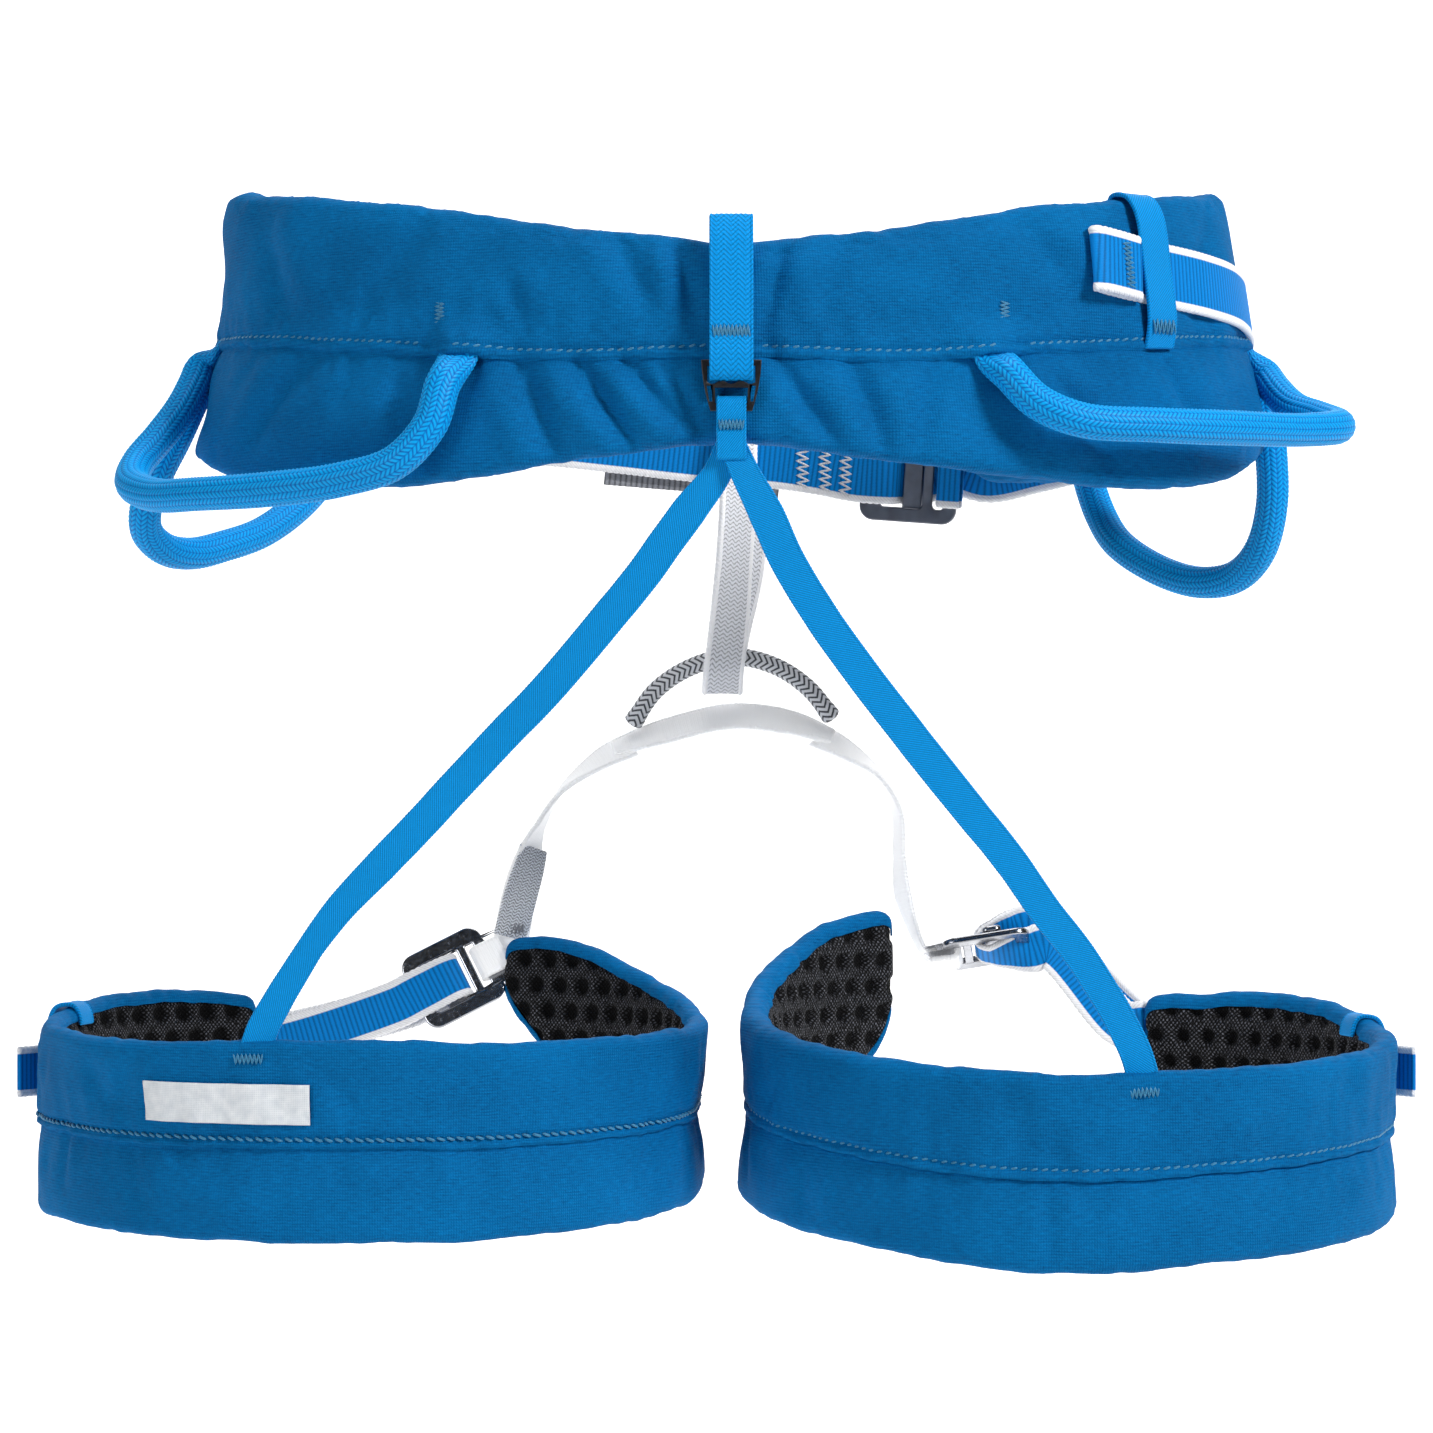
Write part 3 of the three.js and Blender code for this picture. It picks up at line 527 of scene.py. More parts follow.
STRAP = style("blue_webbing", "waist_strap_webbing", BLUE, WHITE, 10, 2.4, 1.75, "ribs", edge=2.5, fine=14)
LEG_STRAP = style("blue_webbing", "leg_strap_webbing", BLUE, WHITE, 8, 2.2, 1.75, "ribs",
                  edge=2.2, swell=0.2, depth=0.22, scallop=0.24, step=0.3, fine=12)
HAUL = style("blue_webbing", "haul_loop_webbing", BRIGHT_BLUE, None, 6.5, 0, 1.5, "herringbone",
             {"groove": 0.7}, edge=1.0, depth=0.32, scallop=0.1, step=0.3, fine=48)
ELASTIC = style("blue_elastic", "riser_elastic", BRIGHT_BLUE, None, 5.5, 0, 0.95, "twill",
                edge=1.0, depth=0.1, scallop=0.1, step=0.3)
# WEB, BELAY and DOUBLED paint a glow of emission onto their pale cloth
WEB = style("white_webbing", "white_webbing", BRIGHT_WHITE, None, 6, 0, 1.3, "ribs",
            {"groove": 0.9, "low": 0.8, "painted_glow": 0.2}, edge=1.4, depth=0.2, step=0.3)
BELAY = style("grey_webbing", "belay_webbing", PALE_GREY, WHITE, 7, 1.6, 1.5, "waves",
              {"groove": 0.3, "low": 0.42, "span": (0.26, 0.48), "painted_glow": 0.15},
              edge=1.8, swell=0.25, depth=0.24, scallop=0.2, step=0.32, fine=30)
DOUBLED = style("grey_webbing", "doubled_webbing", COOL_GREY, None, 5.75, 0, 1.1, "waves",
                {"groove": 0.2, "low": 0.16, "span": (0.25, 0.43), "painted_glow": 0.1},
                edge=1.2, depth=0.3, scallop=0.2, step=0.3)
PROTECTOR = style("grey_webbing", "protector_webbing", MID_GREY, None, 11, 0, 1.9, "ribs",
                  {"low": 0.12}, edge=2.0, depth=0.2, step=0.32)


def section_samples(half, edge, fine):
    """Places across a webbing, close together on its edges."""
    body = np.linspace(-(half - edge), half - edge, fine)
    rope = half - edge + edge * (1 - np.cos(np.linspace(0, np.pi, 9)[1:])) / 2
    return np.concatenate([-rope[::-1], body, rope])


def weave_height(kind, distance, across, pitch, half):
    """How far the yarns stand up, from 0 to 1."""
    if kind == "ribs":
        phase = distance / pitch
    elif kind == "twill":
        phase = (distance + across) / pitch
    elif kind == "herringbone":
        column = half / 3
        swing = np.abs((across / column) % 2 - 1) * column
        phase = (distance + swing) / pitch
    else:
        phase = (distance + WAVES_SWING * np.sin(WAVES_TURN * across)) / pitch
    return np.sqrt(np.abs(np.sin(np.pi * phase)))


def webbing(name, control, width, thickness, body, kind, pitch, finish, slot, across=None, facing=None,
            closed=False, edge=1.6, swell=0.12, depth=0.16, scallop=0.12, step=0.34, fine=18,
            stands_for=(), width_at=None, wobble=0.0, seed=1):
    """A flat webbing along a curve, its weave and its roped edges modelled.

    edge is its roped edges' width and swell how much thicker they are, depth the weave's relief,
    scallop the edges' waves, step and fine the mesh's spacing along it and its count across it.
    """
    hints = across if across is not None else facing
    points, along, hint, at = even_path(control, step, hints, closed)
    if across is not None:
        normal = unit(np.cross(hint, along))
    else:
        side = np.cross(along, hint)
        normal = unit(np.cross(side, along))
    side = np.cross(along, normal)
    half = width / 2
    s = section_samples(half, edge, fine)
    body_height = thickness / 2 * (1 - (np.abs(s) / half) ** 8) ** 0.5
    rope_place = (np.abs(s) - (half - edge / 2)) / (edge / 2)
    rope_height = (thickness / 2 + swell) * np.sqrt(np.clip(1 - rope_place**2, 0, 1))
    height = np.maximum(body_height, rope_height)
    on_rope = step_between(half - edge - 0.2, half - edge + 0.2, np.abs(s))[None, :]
    d = at[:, None]
    relief = depth * (weave_height(kind, d, s[None, :], pitch, half) - 0.6)
    rope_phase = d / (pitch * ROPE_PITCH) + s[None, :] * 0.5
    rope_relief = depth * 0.9 * (np.sqrt(np.abs(np.sin(np.pi * rope_phase))) - 0.6)
    standing = relief * (1 - on_rope) + rope_relief * on_rope
    swelling = height[None, :] + standing * (height > 0.1)[None, :]
    ends = np.ones(len(at))
    if not closed:
        ends = np.sqrt(np.clip(np.minimum(at, at[-1] - at) / 0.7, 0, 1))
    swelling = np.clip(swelling, 0, None) * ends[:, None]
    widths = np.ones(len(at)) if width_at is None else np.interp(at / at[-1], *np.transpose(width_at))
    wave = scallop * np.abs(np.sin(np.pi * d / (pitch * 2 * ROPE_PITCH))) * (np.abs(s[None, :]) / half) ** 6
    wander = wobble * value_noise(d / 9.0, np.zeros_like(d) + seed, seed)
    out_s = s[None, :] * widths[:, None] + np.sign(s[None, :]) * wave + wander
    flat = points[:, None] + side[:, None] * out_s[..., None]
    front = flat + normal[:, None] * swelling[..., None]
    back = flat - normal[:, None] * swelling[..., None]
    grid = np.concatenate([front, back[:, ::-1]], axis=1)
    if closed:
        grid = grid[:-1]
    v = np.concatenate([s, s[::-1], s[:1]]) / half
    mesh = grid_mesh(name, grid, at, v, wrap_rows=closed, wrap_ring=True)
    return add_object(name, mesh, finish, slot, body, stands_for)


# ---------------------------------------------------------------- the bands' shapes
BELT = {"halfWidth": 165.5, "halfDepth": 108, "flareX": 0.15, "flareY": 0.12}
BELT_TOP = profile([[0, 31], [18, 36], [33, 43], [60, 50], [90, 55], [115, 46], [135, 22], [152, 0]])
BELT_BOTTOM = profile([[0, -30], [18, -37], [38, -42], [65, -38], [90, -29], [115, -33], [135, -38],
                       [152, -37]])


def stacked(x, y, z):
    return np.stack(np.broadcast_arrays(x, y, z), axis=-1).astype(float)


def belt_point(degrees, z, outset=0.0):
    a = np.radians(degrees)
    half_width = BELT["halfWidth"] - BELT["flareX"] * np.asarray(z, float)
    half_depth = BELT["halfDepth"] - BELT["flareY"] * np.asarray(z, float)
    nx, ny = np.sin(a) / half_width, -np.cos(a) / half_depth
    size = np.hypot(nx, ny)
    x = half_width * np.sin(a) + nx / size * outset
    return stacked(x, -half_depth * np.cos(a) + ny / size * outset, z)


def belt_up(degrees, z):
    return unit(belt_point(degrees, z + 1) - belt_point(degrees, z - 1))


LEGS = {
    "left": {
        "side": -1, "centreX": 116, "halfWidth": 106.5, "halfDepth": 97, "innerEnd": -153, "outerEnd": 153,
        "top": profile([[-158.5, -192], [-155, -187.5], [-142, -189], [-125, -197.5], [-90, -209],
                        [-45, -211], [0, -210], [50, -211], [90, -209], [118, -205], [140, -205],
                        [155, -208]]),
        "bottom": profile([[-158.5, -207], [-151, -223], [-143, -238], [-120, -253], [-90, -264],
                           [-45, -269], [0, -271], [45, -270], [90, -269], [120, -262], [140, -250],
                           [155, -238]]),
    },
    "right": {
        "side": 1, "centreX": 108.5, "halfWidth": 104, "halfDepth": 97, "innerEnd": -145, "outerEnd": 160,
        "top": profile([[-150, -187], [-145, -179.5], [-133, -182], [-118, -190], [-90, -205],
                        [-45, -216], [-10, -220], [15, -220], [45, -218], [90, -214], [112, -209],
                        [135, -206], [161, -209]]),
        "bottom": profile([[-150, -202], [-146, -216], [-141, -229], [-130, -239], [-110, -253],
                           [-90, -265], [-45, -273], [-8, -279], [30, -276], [60, -273], [90, -270],
                           [120, -262], [140, -252], [161, -240]]),
    },
}


def leg_place(leg):
    def place(degrees, z, outset=0.0):
        a = np.radians(degrees)
        nx, ny = np.sin(a) / leg["halfWidth"], -np.cos(a) / leg["halfDepth"]
        size = np.hypot(nx, ny)
        x = leg["side"] * (leg["centreX"] + leg["halfWidth"] * np.sin(a) + nx / size * outset)
        return stacked(x, -leg["halfDepth"] * np.cos(a) + ny / size * outset, z)

    return place


class Band:
    """A padded band: its outside surface, its edges, and the shapes sewn into it.

    place gives a point from an angle, a height and how far out it is. corners are the radii of its two
    ends' corners, folding scales its creases' depths, and roots are the arcs and rises of what is sewn
    under its fold.
    """

    ROLL = 0.8  # how far the shell's cloth goes down inside the edges

    def __init__(self, name, place, ends, top, bottom, seam, depth, creases, bulges, seed, corners, folding):
        self.name, self.place, self.ends, self.depth, self.seed = name, place, ends, depth, seed
        self.top, self.bottom, self.seam, self.corners = top, bottom, seam, corners
        self.creases, self.bulges, self.folding, self.roots = creases, bulges, folding, []
        fine = np.linspace(ends[0], ends[1], 1441)
        line = place(fine, np.full_like(fine, float(seam(0.0))))
        lengths = np.concatenate([[0], np.cumsum(np.linalg.norm(np.diff(line, axis=0), axis=1))])
        self.arc_of = lambda angle: np.interp(angle, fine, lengths) - np.interp(0, fine, lengths)
        self.length = lengths[-1]
        self.start_arc, self.end_arc = float(self.arc_of(ends[0])), float(self.arc_of(ends[1]))
        self.angle_of = lambda arc: np.interp(arc, lengths - np.interp(0, fine, lengths), fine)
        self.moved = None

    def edges(self, angle):
        """Top, bottom and thickness share at an angle, rounded off towards the band's ends."""
        arc = self.arc_of(angle)
        from_start, from_end = arc - self.start_arc, self.end_arc - arc
        inward = np.minimum(from_start, from_end)
        corner = np.where(from_start < from_end, *self.corners)
        taper = 6.0
        missing = np.clip(corner - inward, 0, corner)
        shrink = corner - np.sqrt(corner**2 - missing**2 * 0.98)
        thin = np.sqrt(np.clip(1 - (np.clip(taper - inward, 0, taper) / taper) ** 2, 0.03, 1))
        return self.top(angle) - shrink, self.bottom(angle) + shrink, thin

    def relief(self, arc, z):
        """How far the shell stands out from its smooth shape."""
        height = z - self.seam(self.angle_of(arc))
        stitch = 0.8 + 0.2 * np.cos(2 * np.pi * arc / STITCH_PITCH)
        groove = -1.15 * np.exp(-((height / 1.25) ** 2)) * stitch
        below = step_between(FOLD_DROP - 0.25, FOLD_DROP + 0.25, -height)
        drop = -1.8 * below * np.exp(-np.clip(-height - FOLD_DROP, 0, None) / 7.0)
        pucker = value_noise(arc / 5.5, np.full_like(arc, 3.3), self.seed) * np.exp(-np.abs(height) / 7.0)
        gathers = value_noise(arc / 12.0 + height / 30, height / 26.0, self.seed + 1)
        pucker += 0.7 * gathers * np.exp(-np.abs(height) / 16)
        broad = value_noise(arc / 34.0 + height / 60, height / 30.0, self.seed + 2)
        small = value_noise(arc / 11.0 - height / 18, height / 12.0, self.seed + 3)
        out = groove + drop + 0.8 * pucker + 0.8 * broad + 0.45 * small
        for x0, z0, x1, z1, width, deep in self.creases:
            run = np.array([x1 - x0, z1 - z0], float)
            share = ((arc - x0) * run[0] + (z - z0) * run[1]) / (run @ run)
            away = ((arc - x0) * run[1] - (z - z0) * run[0]) / np.sqrt(run @ run)
            fade = np.exp(-((np.clip(np.abs(share - 0.5) - 0.5, 0, None) / 0.18) ** 2))
            fade *= 0.35 + 0.65 * np.sin(np.pi * np.clip(share, 0, 1)) ** 0.7
            valley = np.exp(-((away / width) ** 2))
            bank = np.exp(-(((away - 1.9 * width) / (1.4 * width)) ** 2))
            out -= deep * self.folding * fade * (valley - 0.55 * bank)
        for x0, z0, wide, tall, rise in self.bulges:
            out += rise * np.exp(-(((arc - x0) / wide) ** 2) - ((z - z0) / tall) ** 2)
        for root, rise in self.roots:
            mound = np.exp(-(((arc - root) / 9) ** 2) - ((height + 1) / 7) ** 2)
            out += rise * mound * (1 - below)
        return out

    def section(self, angle, top, bottom, samples):
        """Heights and depth shares round the shell's cut, from inside the top edge to inside the bottom."""
        bend = np.linspace(0, np.pi, 13)[:, None]
        radius = np.minimum(EDGE_RADIUS, (top - bottom) / 6)[None]
        inside = np.linspace(self.ROLL, 0, 6)[:-1, None]
        straight = np.linspace(0, 1, samples)[1:-1, None]
        upper = [top - radius - inside, top - radius + radius * np.sin(bend)]
        flat = (top - radius) * (1 - straight) + (bottom + radius) * straight
        lower = [bottom + radius - radius * np.sin(bend), bottom + radius + inside[::-1]]
        heights = np.concatenate([*upper, flat, *lower])
        ones = np.ones_like(inside)
        q = np.concatenate([ones, (1 + np.cos(bend)) / 2, 0 * straight, (1 - np.cos(bend)) / 2, ones])
        return heights.T, np.repeat(q, len(top), axis=1).T

    def shell_grid(self, columns, samples, smaller=0.0, relief=True):
        """The shell's points, their arcs and their heights, columns along the band by samples round it."""
        arcs = np.linspace(self.start_arc, self.end_arc, columns)
        angle = self.angle_of(arcs)
        top, bottom, thin = self.edges(angle)
        z, q = self.section(angle, top - smaller, bottom + smaller, samples)
        arc = np.repeat(arcs[:, None], z.shape[1], axis=1)
        outset = -self.depth / 2 + (0.5 - q) * (self.depth - 2 * smaller) * thin[:, None]
        if relief:
            outset += self.relief(arc, z) * (1 - q) * np.sqrt(thin)[:, None]
            outset += 0.85 * value_noise(arc / 3.6, z / 12.0, self.seed + 5) * q
            z = z + 0.5 * value_noise(arc / 17.0, z / 200.0, self.seed + 6)
            z = z + 0.3 * value_noise(arc / 4.2, z / 200.0, self.seed + 7)
        return self.place(np.repeat(angle[:, None], z.shape[1], axis=1), z, outset), arc, z

    def shifted(self, points):
        """Points moved as the filled cushion moved near them."""
        if self.moved is None:
            return points
        tree, moves = self.moved
        flat = points.reshape(-1, 3)
        result = flat.copy()
        for i, p in enumerate(flat):
            near = tree.find_n(p, 4)
            weights = np.array([1 / (distance + 0.5) ** 2 for _, _, distance in near])
            result[i] += weights @ moves[[index for _, index, _ in near]] / weights.sum()
        return result.reshape(points.shape)


def fill_cushion(band):
    """Blows up a coarse closed copy of the band with cloth simulation and keeps how its surface moved."""
    grid, _, _ = band.shell_grid(int(band.length / 6), 10, smaller=0.8, relief=False)
    tips = grid.mean(axis=1, keepdims=True).repeat(grid.shape[1], axis=1)
    grid = np.concatenate([tips[:1], grid, tips[-1:]])
    rows, ring = grid.shape[:2]
    mesh = grid_mesh("cushion", grid, np.zeros(rows + 1), np.zeros(ring + 1), wrap_ring=True)
    cushion = place_object("cushion", mesh)
    remesh = cushion.modifiers.new("remesh", "REMESH")
    remesh.mode = "VOXEL"
    remesh.voxel_size = 5 * MM
    graph = bpy.context.evaluated_depsgraph_get()
    fine = bpy.data.meshes.new_from_object(cushion.evaluated_get(graph))
    bpy.data.objects.remove(cushion)
    cushion = place_object("cushion_fine", fine)
    start = np.empty(len(fine.vertices) * 3)
    fine.vertices.foreach_get("co", start)
    start = start.reshape(-1, 3) / MM
    held = cushion.vertex_groups.new(name="held")
    angles = np.linspace(*band.ends, 500)
    seam_line = band.place(angles, band.seam(angles))
    for index, point in enumerate(start):
        near = np.min(np.linalg.norm(seam_line - point, axis=1))
        weight = float(np.clip(1.25 - near / 8, 0, 1))
        if weight > 0:
            held.add([index], weight, "REPLACE")
    cloth = cushion.modifiers.new("cloth", "CLOTH")
    settings = cloth.settings
    settings.quality = 5
    settings.mass = 0.25
    settings.tension_stiffness = settings.compression_stiffness = 20
    settings.shear_stiffness = 8
    settings.bending_stiffness = 0.6
    settings.use_pressure = True
    settings.uniform_pressure_force = 4
    settings.vertex_group_mass = "held"
    settings.shrink_min = -0.012
    settings.effector_weights.gravity = 0
    cloth.point_cache.frame_end = CUSHION_FRAMES
    scene = bpy.context.scene
    for number in range(1, CUSHION_FRAMES + 1):
        scene.frame_set(number)
    graph = bpy.context.evaluated_depsgraph_get()
    final = cushion.evaluated_get(graph).data
    end = np.empty(len(final.vertices) * 3)
    final.vertices.foreach_get("co", end)
    moves = end.reshape(-1, 3) / MM - start
    size = np.linalg.norm(moves, axis=1, keepdims=True)
    moves *= np.minimum(1, MOST_MOVE / np.maximum(size, 1e-6))
    tree = KDTree(len(start))
    for index, point in enumerate(start):
        tree.insert(point, index)
    tree.balance()
    band.moved = (tree, moves)
    bpy.data.objects.remove(cushion)
    scene.frame_set(1)


def add_padding(kind, band, grid, arc, z, thickness, material, slot, body, nodes, flip=False):
    """A padded piece over a grid of a band, its cloth laid inwards from the grid."""
    name = f"{band.name}_{kind}"
    us, vs = (np.pad(values, ((0, 0), (0, 1)), "edge") for values in (arc, z))
    piece = add_object(name, grid_mesh(name, grid, us, vs, flip=flip), material, slot, body, nodes)
    thicken(piece, thickness)


def make_shell(band, body, nodes):
    grid, arc, z = band.shell_grid(int(band.length / 1.15), 92)
    grid = band.shifted(grid)
    band.grid, band.arc, band.z = grid, arc, z
    add_padding("cover", band, grid, arc, z, SHELL_CLOTH, SHELL, "shell_fabric", body, nodes)


def make_lining(band, body, node):
    columns = int(band.length / 1.3)
    arcs = np.linspace(band.start_arc + 1.0, band.end_arc - 1.0, columns)
    angle = band.angle_of(arcs)
    top, bottom, thin = band.edges(angle)
    share = np.linspace(0, 1, 64)[None]
    margin = EDGE_RADIUS - 0.6
    high, low = top - margin, bottom + margin
    z = high[:, None] * (1 - share) + low[:, None] * share
    arc = np.repeat(arcs[:, None], z.shape[1], axis=1)
    row = np.floor(z / DENT_ROW)
    u = (arc / DENT_PITCH + 0.5 * (row % 2)) % 1 - 0.5
    v = z / DENT_ROW - row - 0.5
    away = np.hypot(u * DENT_PITCH, v * DENT_ROW)
    dent = 1 - step_between(DENT_RADIUS - 1.3, DENT_RADIUS + 0.5, away)
    puff = 1 - (2 * share - 1) ** 4
    inward = puff + 0.4 * value_noise(arc / 20, z / 20, band.seed + 9) - 2.0 * dent
    hem = np.minimum(high[:, None] - z, z - low[:, None])
    tuck = 1.7 * (1 - step_between(0.4, 2.6, hem))
    outset = -band.depth / 2 - (band.depth / 2 - 0.1) * thin[:, None] + tuck
    outset -= inward * np.sqrt(thin)[:, None] * step_between(0.5, 4, hem)
    grid = band.shifted(band.place(np.repeat(angle[:, None], z.shape[1], axis=1), z, outset))
    add_padding("mesh_lining", band, grid, arc, z, LINING_CLOTH, LINING, "mesh_lining", body, [node],
                flip=True)


def on_shell(band, arcs, z):
    """Places and outward directions on the finished shell."""
    columns = band.grid.shape[0]
    at = (np.asarray(arcs, float) - band.start_arc) / (band.end_arc - band.start_arc) * (columns - 1)
    i = np.clip(np.floor(at).astype(int), 0, columns - 2)
    f = (at - i)[:, None]
    outer = slice(12, band.grid.shape[1] - 12)

    def at_height(column, height):
        heights, places = band.z[column, outer][::-1], band.grid[column, outer][::-1]
        return np.array([np.interp(height, heights, places[:, axis]) for axis in range(3)])

    heights = np.broadcast_to(z, np.shape(arcs))
    a = np.array([at_height(c, h) for c, h in zip(i, heights)])
    b = np.array([at_height(c + 1, h) for c, h in zip(i, heights)])
    angle = band.angle_of(np.asarray(arcs, float))
    outward = unit(band.place(angle, heights, 1.0) - band.place(angle, heights, 0.0))
    return a * (1 - f) + b * f, outward


def seam_stitches(band, gaps=()):
    """The row of slanted stitches along a band's seam, missing where something covers it."""
    arcs = np.arange(band.start_arc + 9, band.end_arc - 9, STITCH_PITCH)
    for low, high in gaps:
        arcs = arcs[(arcs < low) | (arcs > high)]
    share = np.linspace(-0.5, 0.5, 6)
    lines = []
    for s in share:
        spots = arcs + s * STITCH_PITCH * 0.82
        place, outward = on_shell(band, spots, band.seam(band.angle_of(spots)) + 0.9 * s)
        lines.append(place + outward * (0.75 - 2.6 * s * s))
    hint = np.repeat(outward[:, None], len(share), axis=1)
    return thread_tubes(np.stack(lines, axis=1), 0.42, hint)


def patch(band, arc, z, length, width, upright=False, lift=0.8, pitch=1.1, radius=0.28):
    """A bartack sewn on a shell."""
    spots, outward = on_shell(band, [arc - 2, arc, arc + 2], z)
    flat = unit(spots[2] - spots[0])
    up = np.cross(outward[1], flat)
    up = up * np.sign(up[2])
    centre = spots[1] + outward[1] * lift
    return bartack(centre, up if upright else flat, flat if upright else up, length, width, pitch, radius)


# ---------------------------------------------------------------- the three padded bands
BELT_SEAM = profile([[0, -1], [18, -2.5], [32, 0.5], [45, 3], [60, 6], [77, 8], [95, 9], [115, 6],
                     [135, -8], [152, -18]])
# Creases as [arc, z] from and to, half width and depth; bulges as arc, z, width, height and rise
BELT_CREASES = [
    [-66, -4, -50, -40, 4.0, 1.3], [-50, -3, -27, -35, 3.6, 1.5], [-34, -5, -12, -29, 3.2, 1.3],
    [-20, -8, -9, -27, 2.6, 0.9], [-104, -8, -92, -36, 5.0, 0.9], [13, -6, 30, -32, 3.4, 1.3],
    [34, -4, 46, -36, 3.8, 1.2], [62, -5, 52, -38, 4.2, 1.0], [98, -8, 118, -36, 4.6, 0.9],
    [-18, 31, -11, 5, 3.2, 1.0], [16, 30, 10, 6, 3.2, 1.0], [-38, 34, -24, 8, 4.4, 0.8],
    [36, 36, 26, 8, 4.6, 0.8], [-62, 3, -70, 20, 3.4, 0.6], [60, 2, 72, 18, 3.6, 0.6],
    [-120, 12, -96, 40, 6.0, 0.7], [112, 14, 92, 38, 5.5, 0.7], [-150, 10, -170, 40, 6.0, 0.8],
    [160, 12, 178, 44, 6.0, 0.8], [-140, -2, -160, -24, 4.6, 0.9], [140, 0, 156, -26, 4.4, 0.9],
]
BELT_BULGES = [
    [-217, 50, 26, 16, 4.2], [-217, -29, 24, 12, 3.2], [212, 4, 26, 20, 0.8], [212, -24, 24, 12, 1.5],
]


def leg_seam(leg):
    return lambda angle: (leg["top"](angle) + leg["bottom"](angle)) / 2 + 1


def leg_creases(side):
    """Short folds up and down from the seam, and longer ones where the riser pulls."""
    found = []
    dice = np.random.RandomState(17 if side < 0 else 23)
    for _ in range(15):
        arc = dice.uniform(-190, 190)
        rise = dice.choice([-1, 1])
        z = -240 + (4 if side < 0 else 0) + rise * 3
        found.append([arc, z, arc + dice.uniform(-13, 13), z + rise * dice.uniform(14, 24),
                      dice.uniform(2.8, 4.8), dice.uniform(0.35, 0.8)])
    if side > 0:
        found.append([-14.5, -247, -13, -274, 3.2, 0.9])
    return found


def belt_low(angle):
    """The belt's lower edge, which both of its front ends lift."""
    angle = np.asarray(angle, float)
    lift = 8.5 * step_between(88, 112, -angle) + 6.5 * step_between(104, 130, angle)
    return BELT_BOTTOM(angle) + lift


BANDS = {
    "belt": Band("belt", belt_point, (-151, 151), BELT_TOP, belt_low, BELT_SEAM, 10.4, BELT_CREASES,
                 BELT_BULGES, 5, (13.0, 13.0), 2.6)
}
for key, leg in LEGS.items():
    inner = leg["innerEnd"] - (5 if key == "left" else 2)
    BANDS[key] = Band(
        f"leg_{key}", leg_place(leg), (inner, leg["outerEnd"]), leg["top"], leg["bottom"], leg_seam(leg),
        7, leg_creases(leg["side"]), [], 40 if key == "left" else 60, (2.0, 4.0), 1.3,
    )


def make_bands():
    for key, band in BANDS.items():
        fill_cushion(band)
        body = "waist_belt" if key == "belt" else f"leg_loop_{key}"
        make_shell(band, body, [f"{body}_{layer}" for layer in ("shell", "foam", "webbing")])
        make_lining(band, body, f"{body}_lining")


# ---------------------------------------------------------------- gear loops and other round pieces
GEAR_LOOPS = {
    "rear_left": [[-86.5, -99.5, -2.4], [-87, -102, -12.6], [-90.7, -105, -24.8], [-101, -104, -35.8],
                  [-118.3, -97, -40.8], [-140.6, -85, -43], [-163.8, -69, -43.6], [-180, -51, -43],
                  [-189, -36, -38.5], [-188.5, -25, -31.5], [-182.5, -17, -22.5], [-176.6, -10, -13],
                  [-173, -4, -4.5], [-170.8, -1, 1.5]],
    "rear_right": [[81, -99.5, -2.4], [83, -102.5, -9.6], [91, -105, -17.9], [104, -105, -23.3],
                   [127, -97, -24.3], [151, -81, -24.1], [177, -56, -23.1], [190.4, -39, -20.8],
                   [186.5, -27, -17.5], [179.5, -17, -13.6], [174.6, -9, -7.4], [171.6, -3, -1.8]],
    "front_left": [[-171.8, 14, -0.5], [-176, 14, -9], [-181.5, 12, -21.9], [-187, 10, -33.4],
                   [-190.8, 12, -43.1], [-191.6, 18, -51], [-187.2, 26, -56.6], [-179, 36, -58],
                   [-168.8, 46, -55], [-158.2, 57, -50.3], [-148.5, 67, -42.4], [-141, 76, -33.1],
                   [-136, 81.5, -24], [-133, 82.5, -16]],
    "front_right": [[172.8, 14, -3], [174.2, 14, -10], [175.8, 13, -24.7], [176.4, 15, -42.6],
                    [173.6, 22, -57], [167.3, 32, -65.4], [157, 42, -67.4], [145.5, 53, -63.9],
                    [132.3, 67.5, -54.5], [127, 80, -44.8], [123.2, 86.5, -33], [121, 89.5, -22]],
}


def outward_at(points):
    x, y, _ = np.asarray(points, float).T
    return unit(np.stack([x / BELT["halfWidth"] ** 2, y / BELT["halfDepth"] ** 2, 0 * x], axis=1))


def round_piece(name, control, hints, radius, relief_at, ring, step, finish, slot, body, stands_for, flat):
    """A round braided piece along a curve. flat is how long, thin and wide its ends are pressed."""
    points, along, hint, at = even_path(control, step, hints)
    normal = unit(hint - along * np.sum(hint * along, axis=1, keepdims=True))
    side = np.cross(along, normal)
    turn = 2 * np.pi * np.arange(ring) / ring
    left = np.minimum(at, at[-1] - at)
    length, thin, wide = flat
    pressed = 1 - step_between(2.0, length, left)
    close = np.sqrt(np.clip(left / 1.2, 0, 1))
    r = radius + relief_at(at[:, None], turn[None, :])
    high = r * ((1 - thin * pressed) * close)[:, None]
    broad = r * ((1 + wide * pressed) * (0.3 + 0.7 * close))[:, None]
    grid = points[:, None] + normal[:, None] * (high * np.cos(turn))[..., None]
    grid = grid + side[:, None] * (broad * np.sin(turn))[..., None]
    v = np.arange(ring + 1) * PLAITS / ring
    mesh = grid_mesh(name, grid, at, v, wrap_ring=True)
    return add_object(name, mesh, finish, slot, body, stands_for)


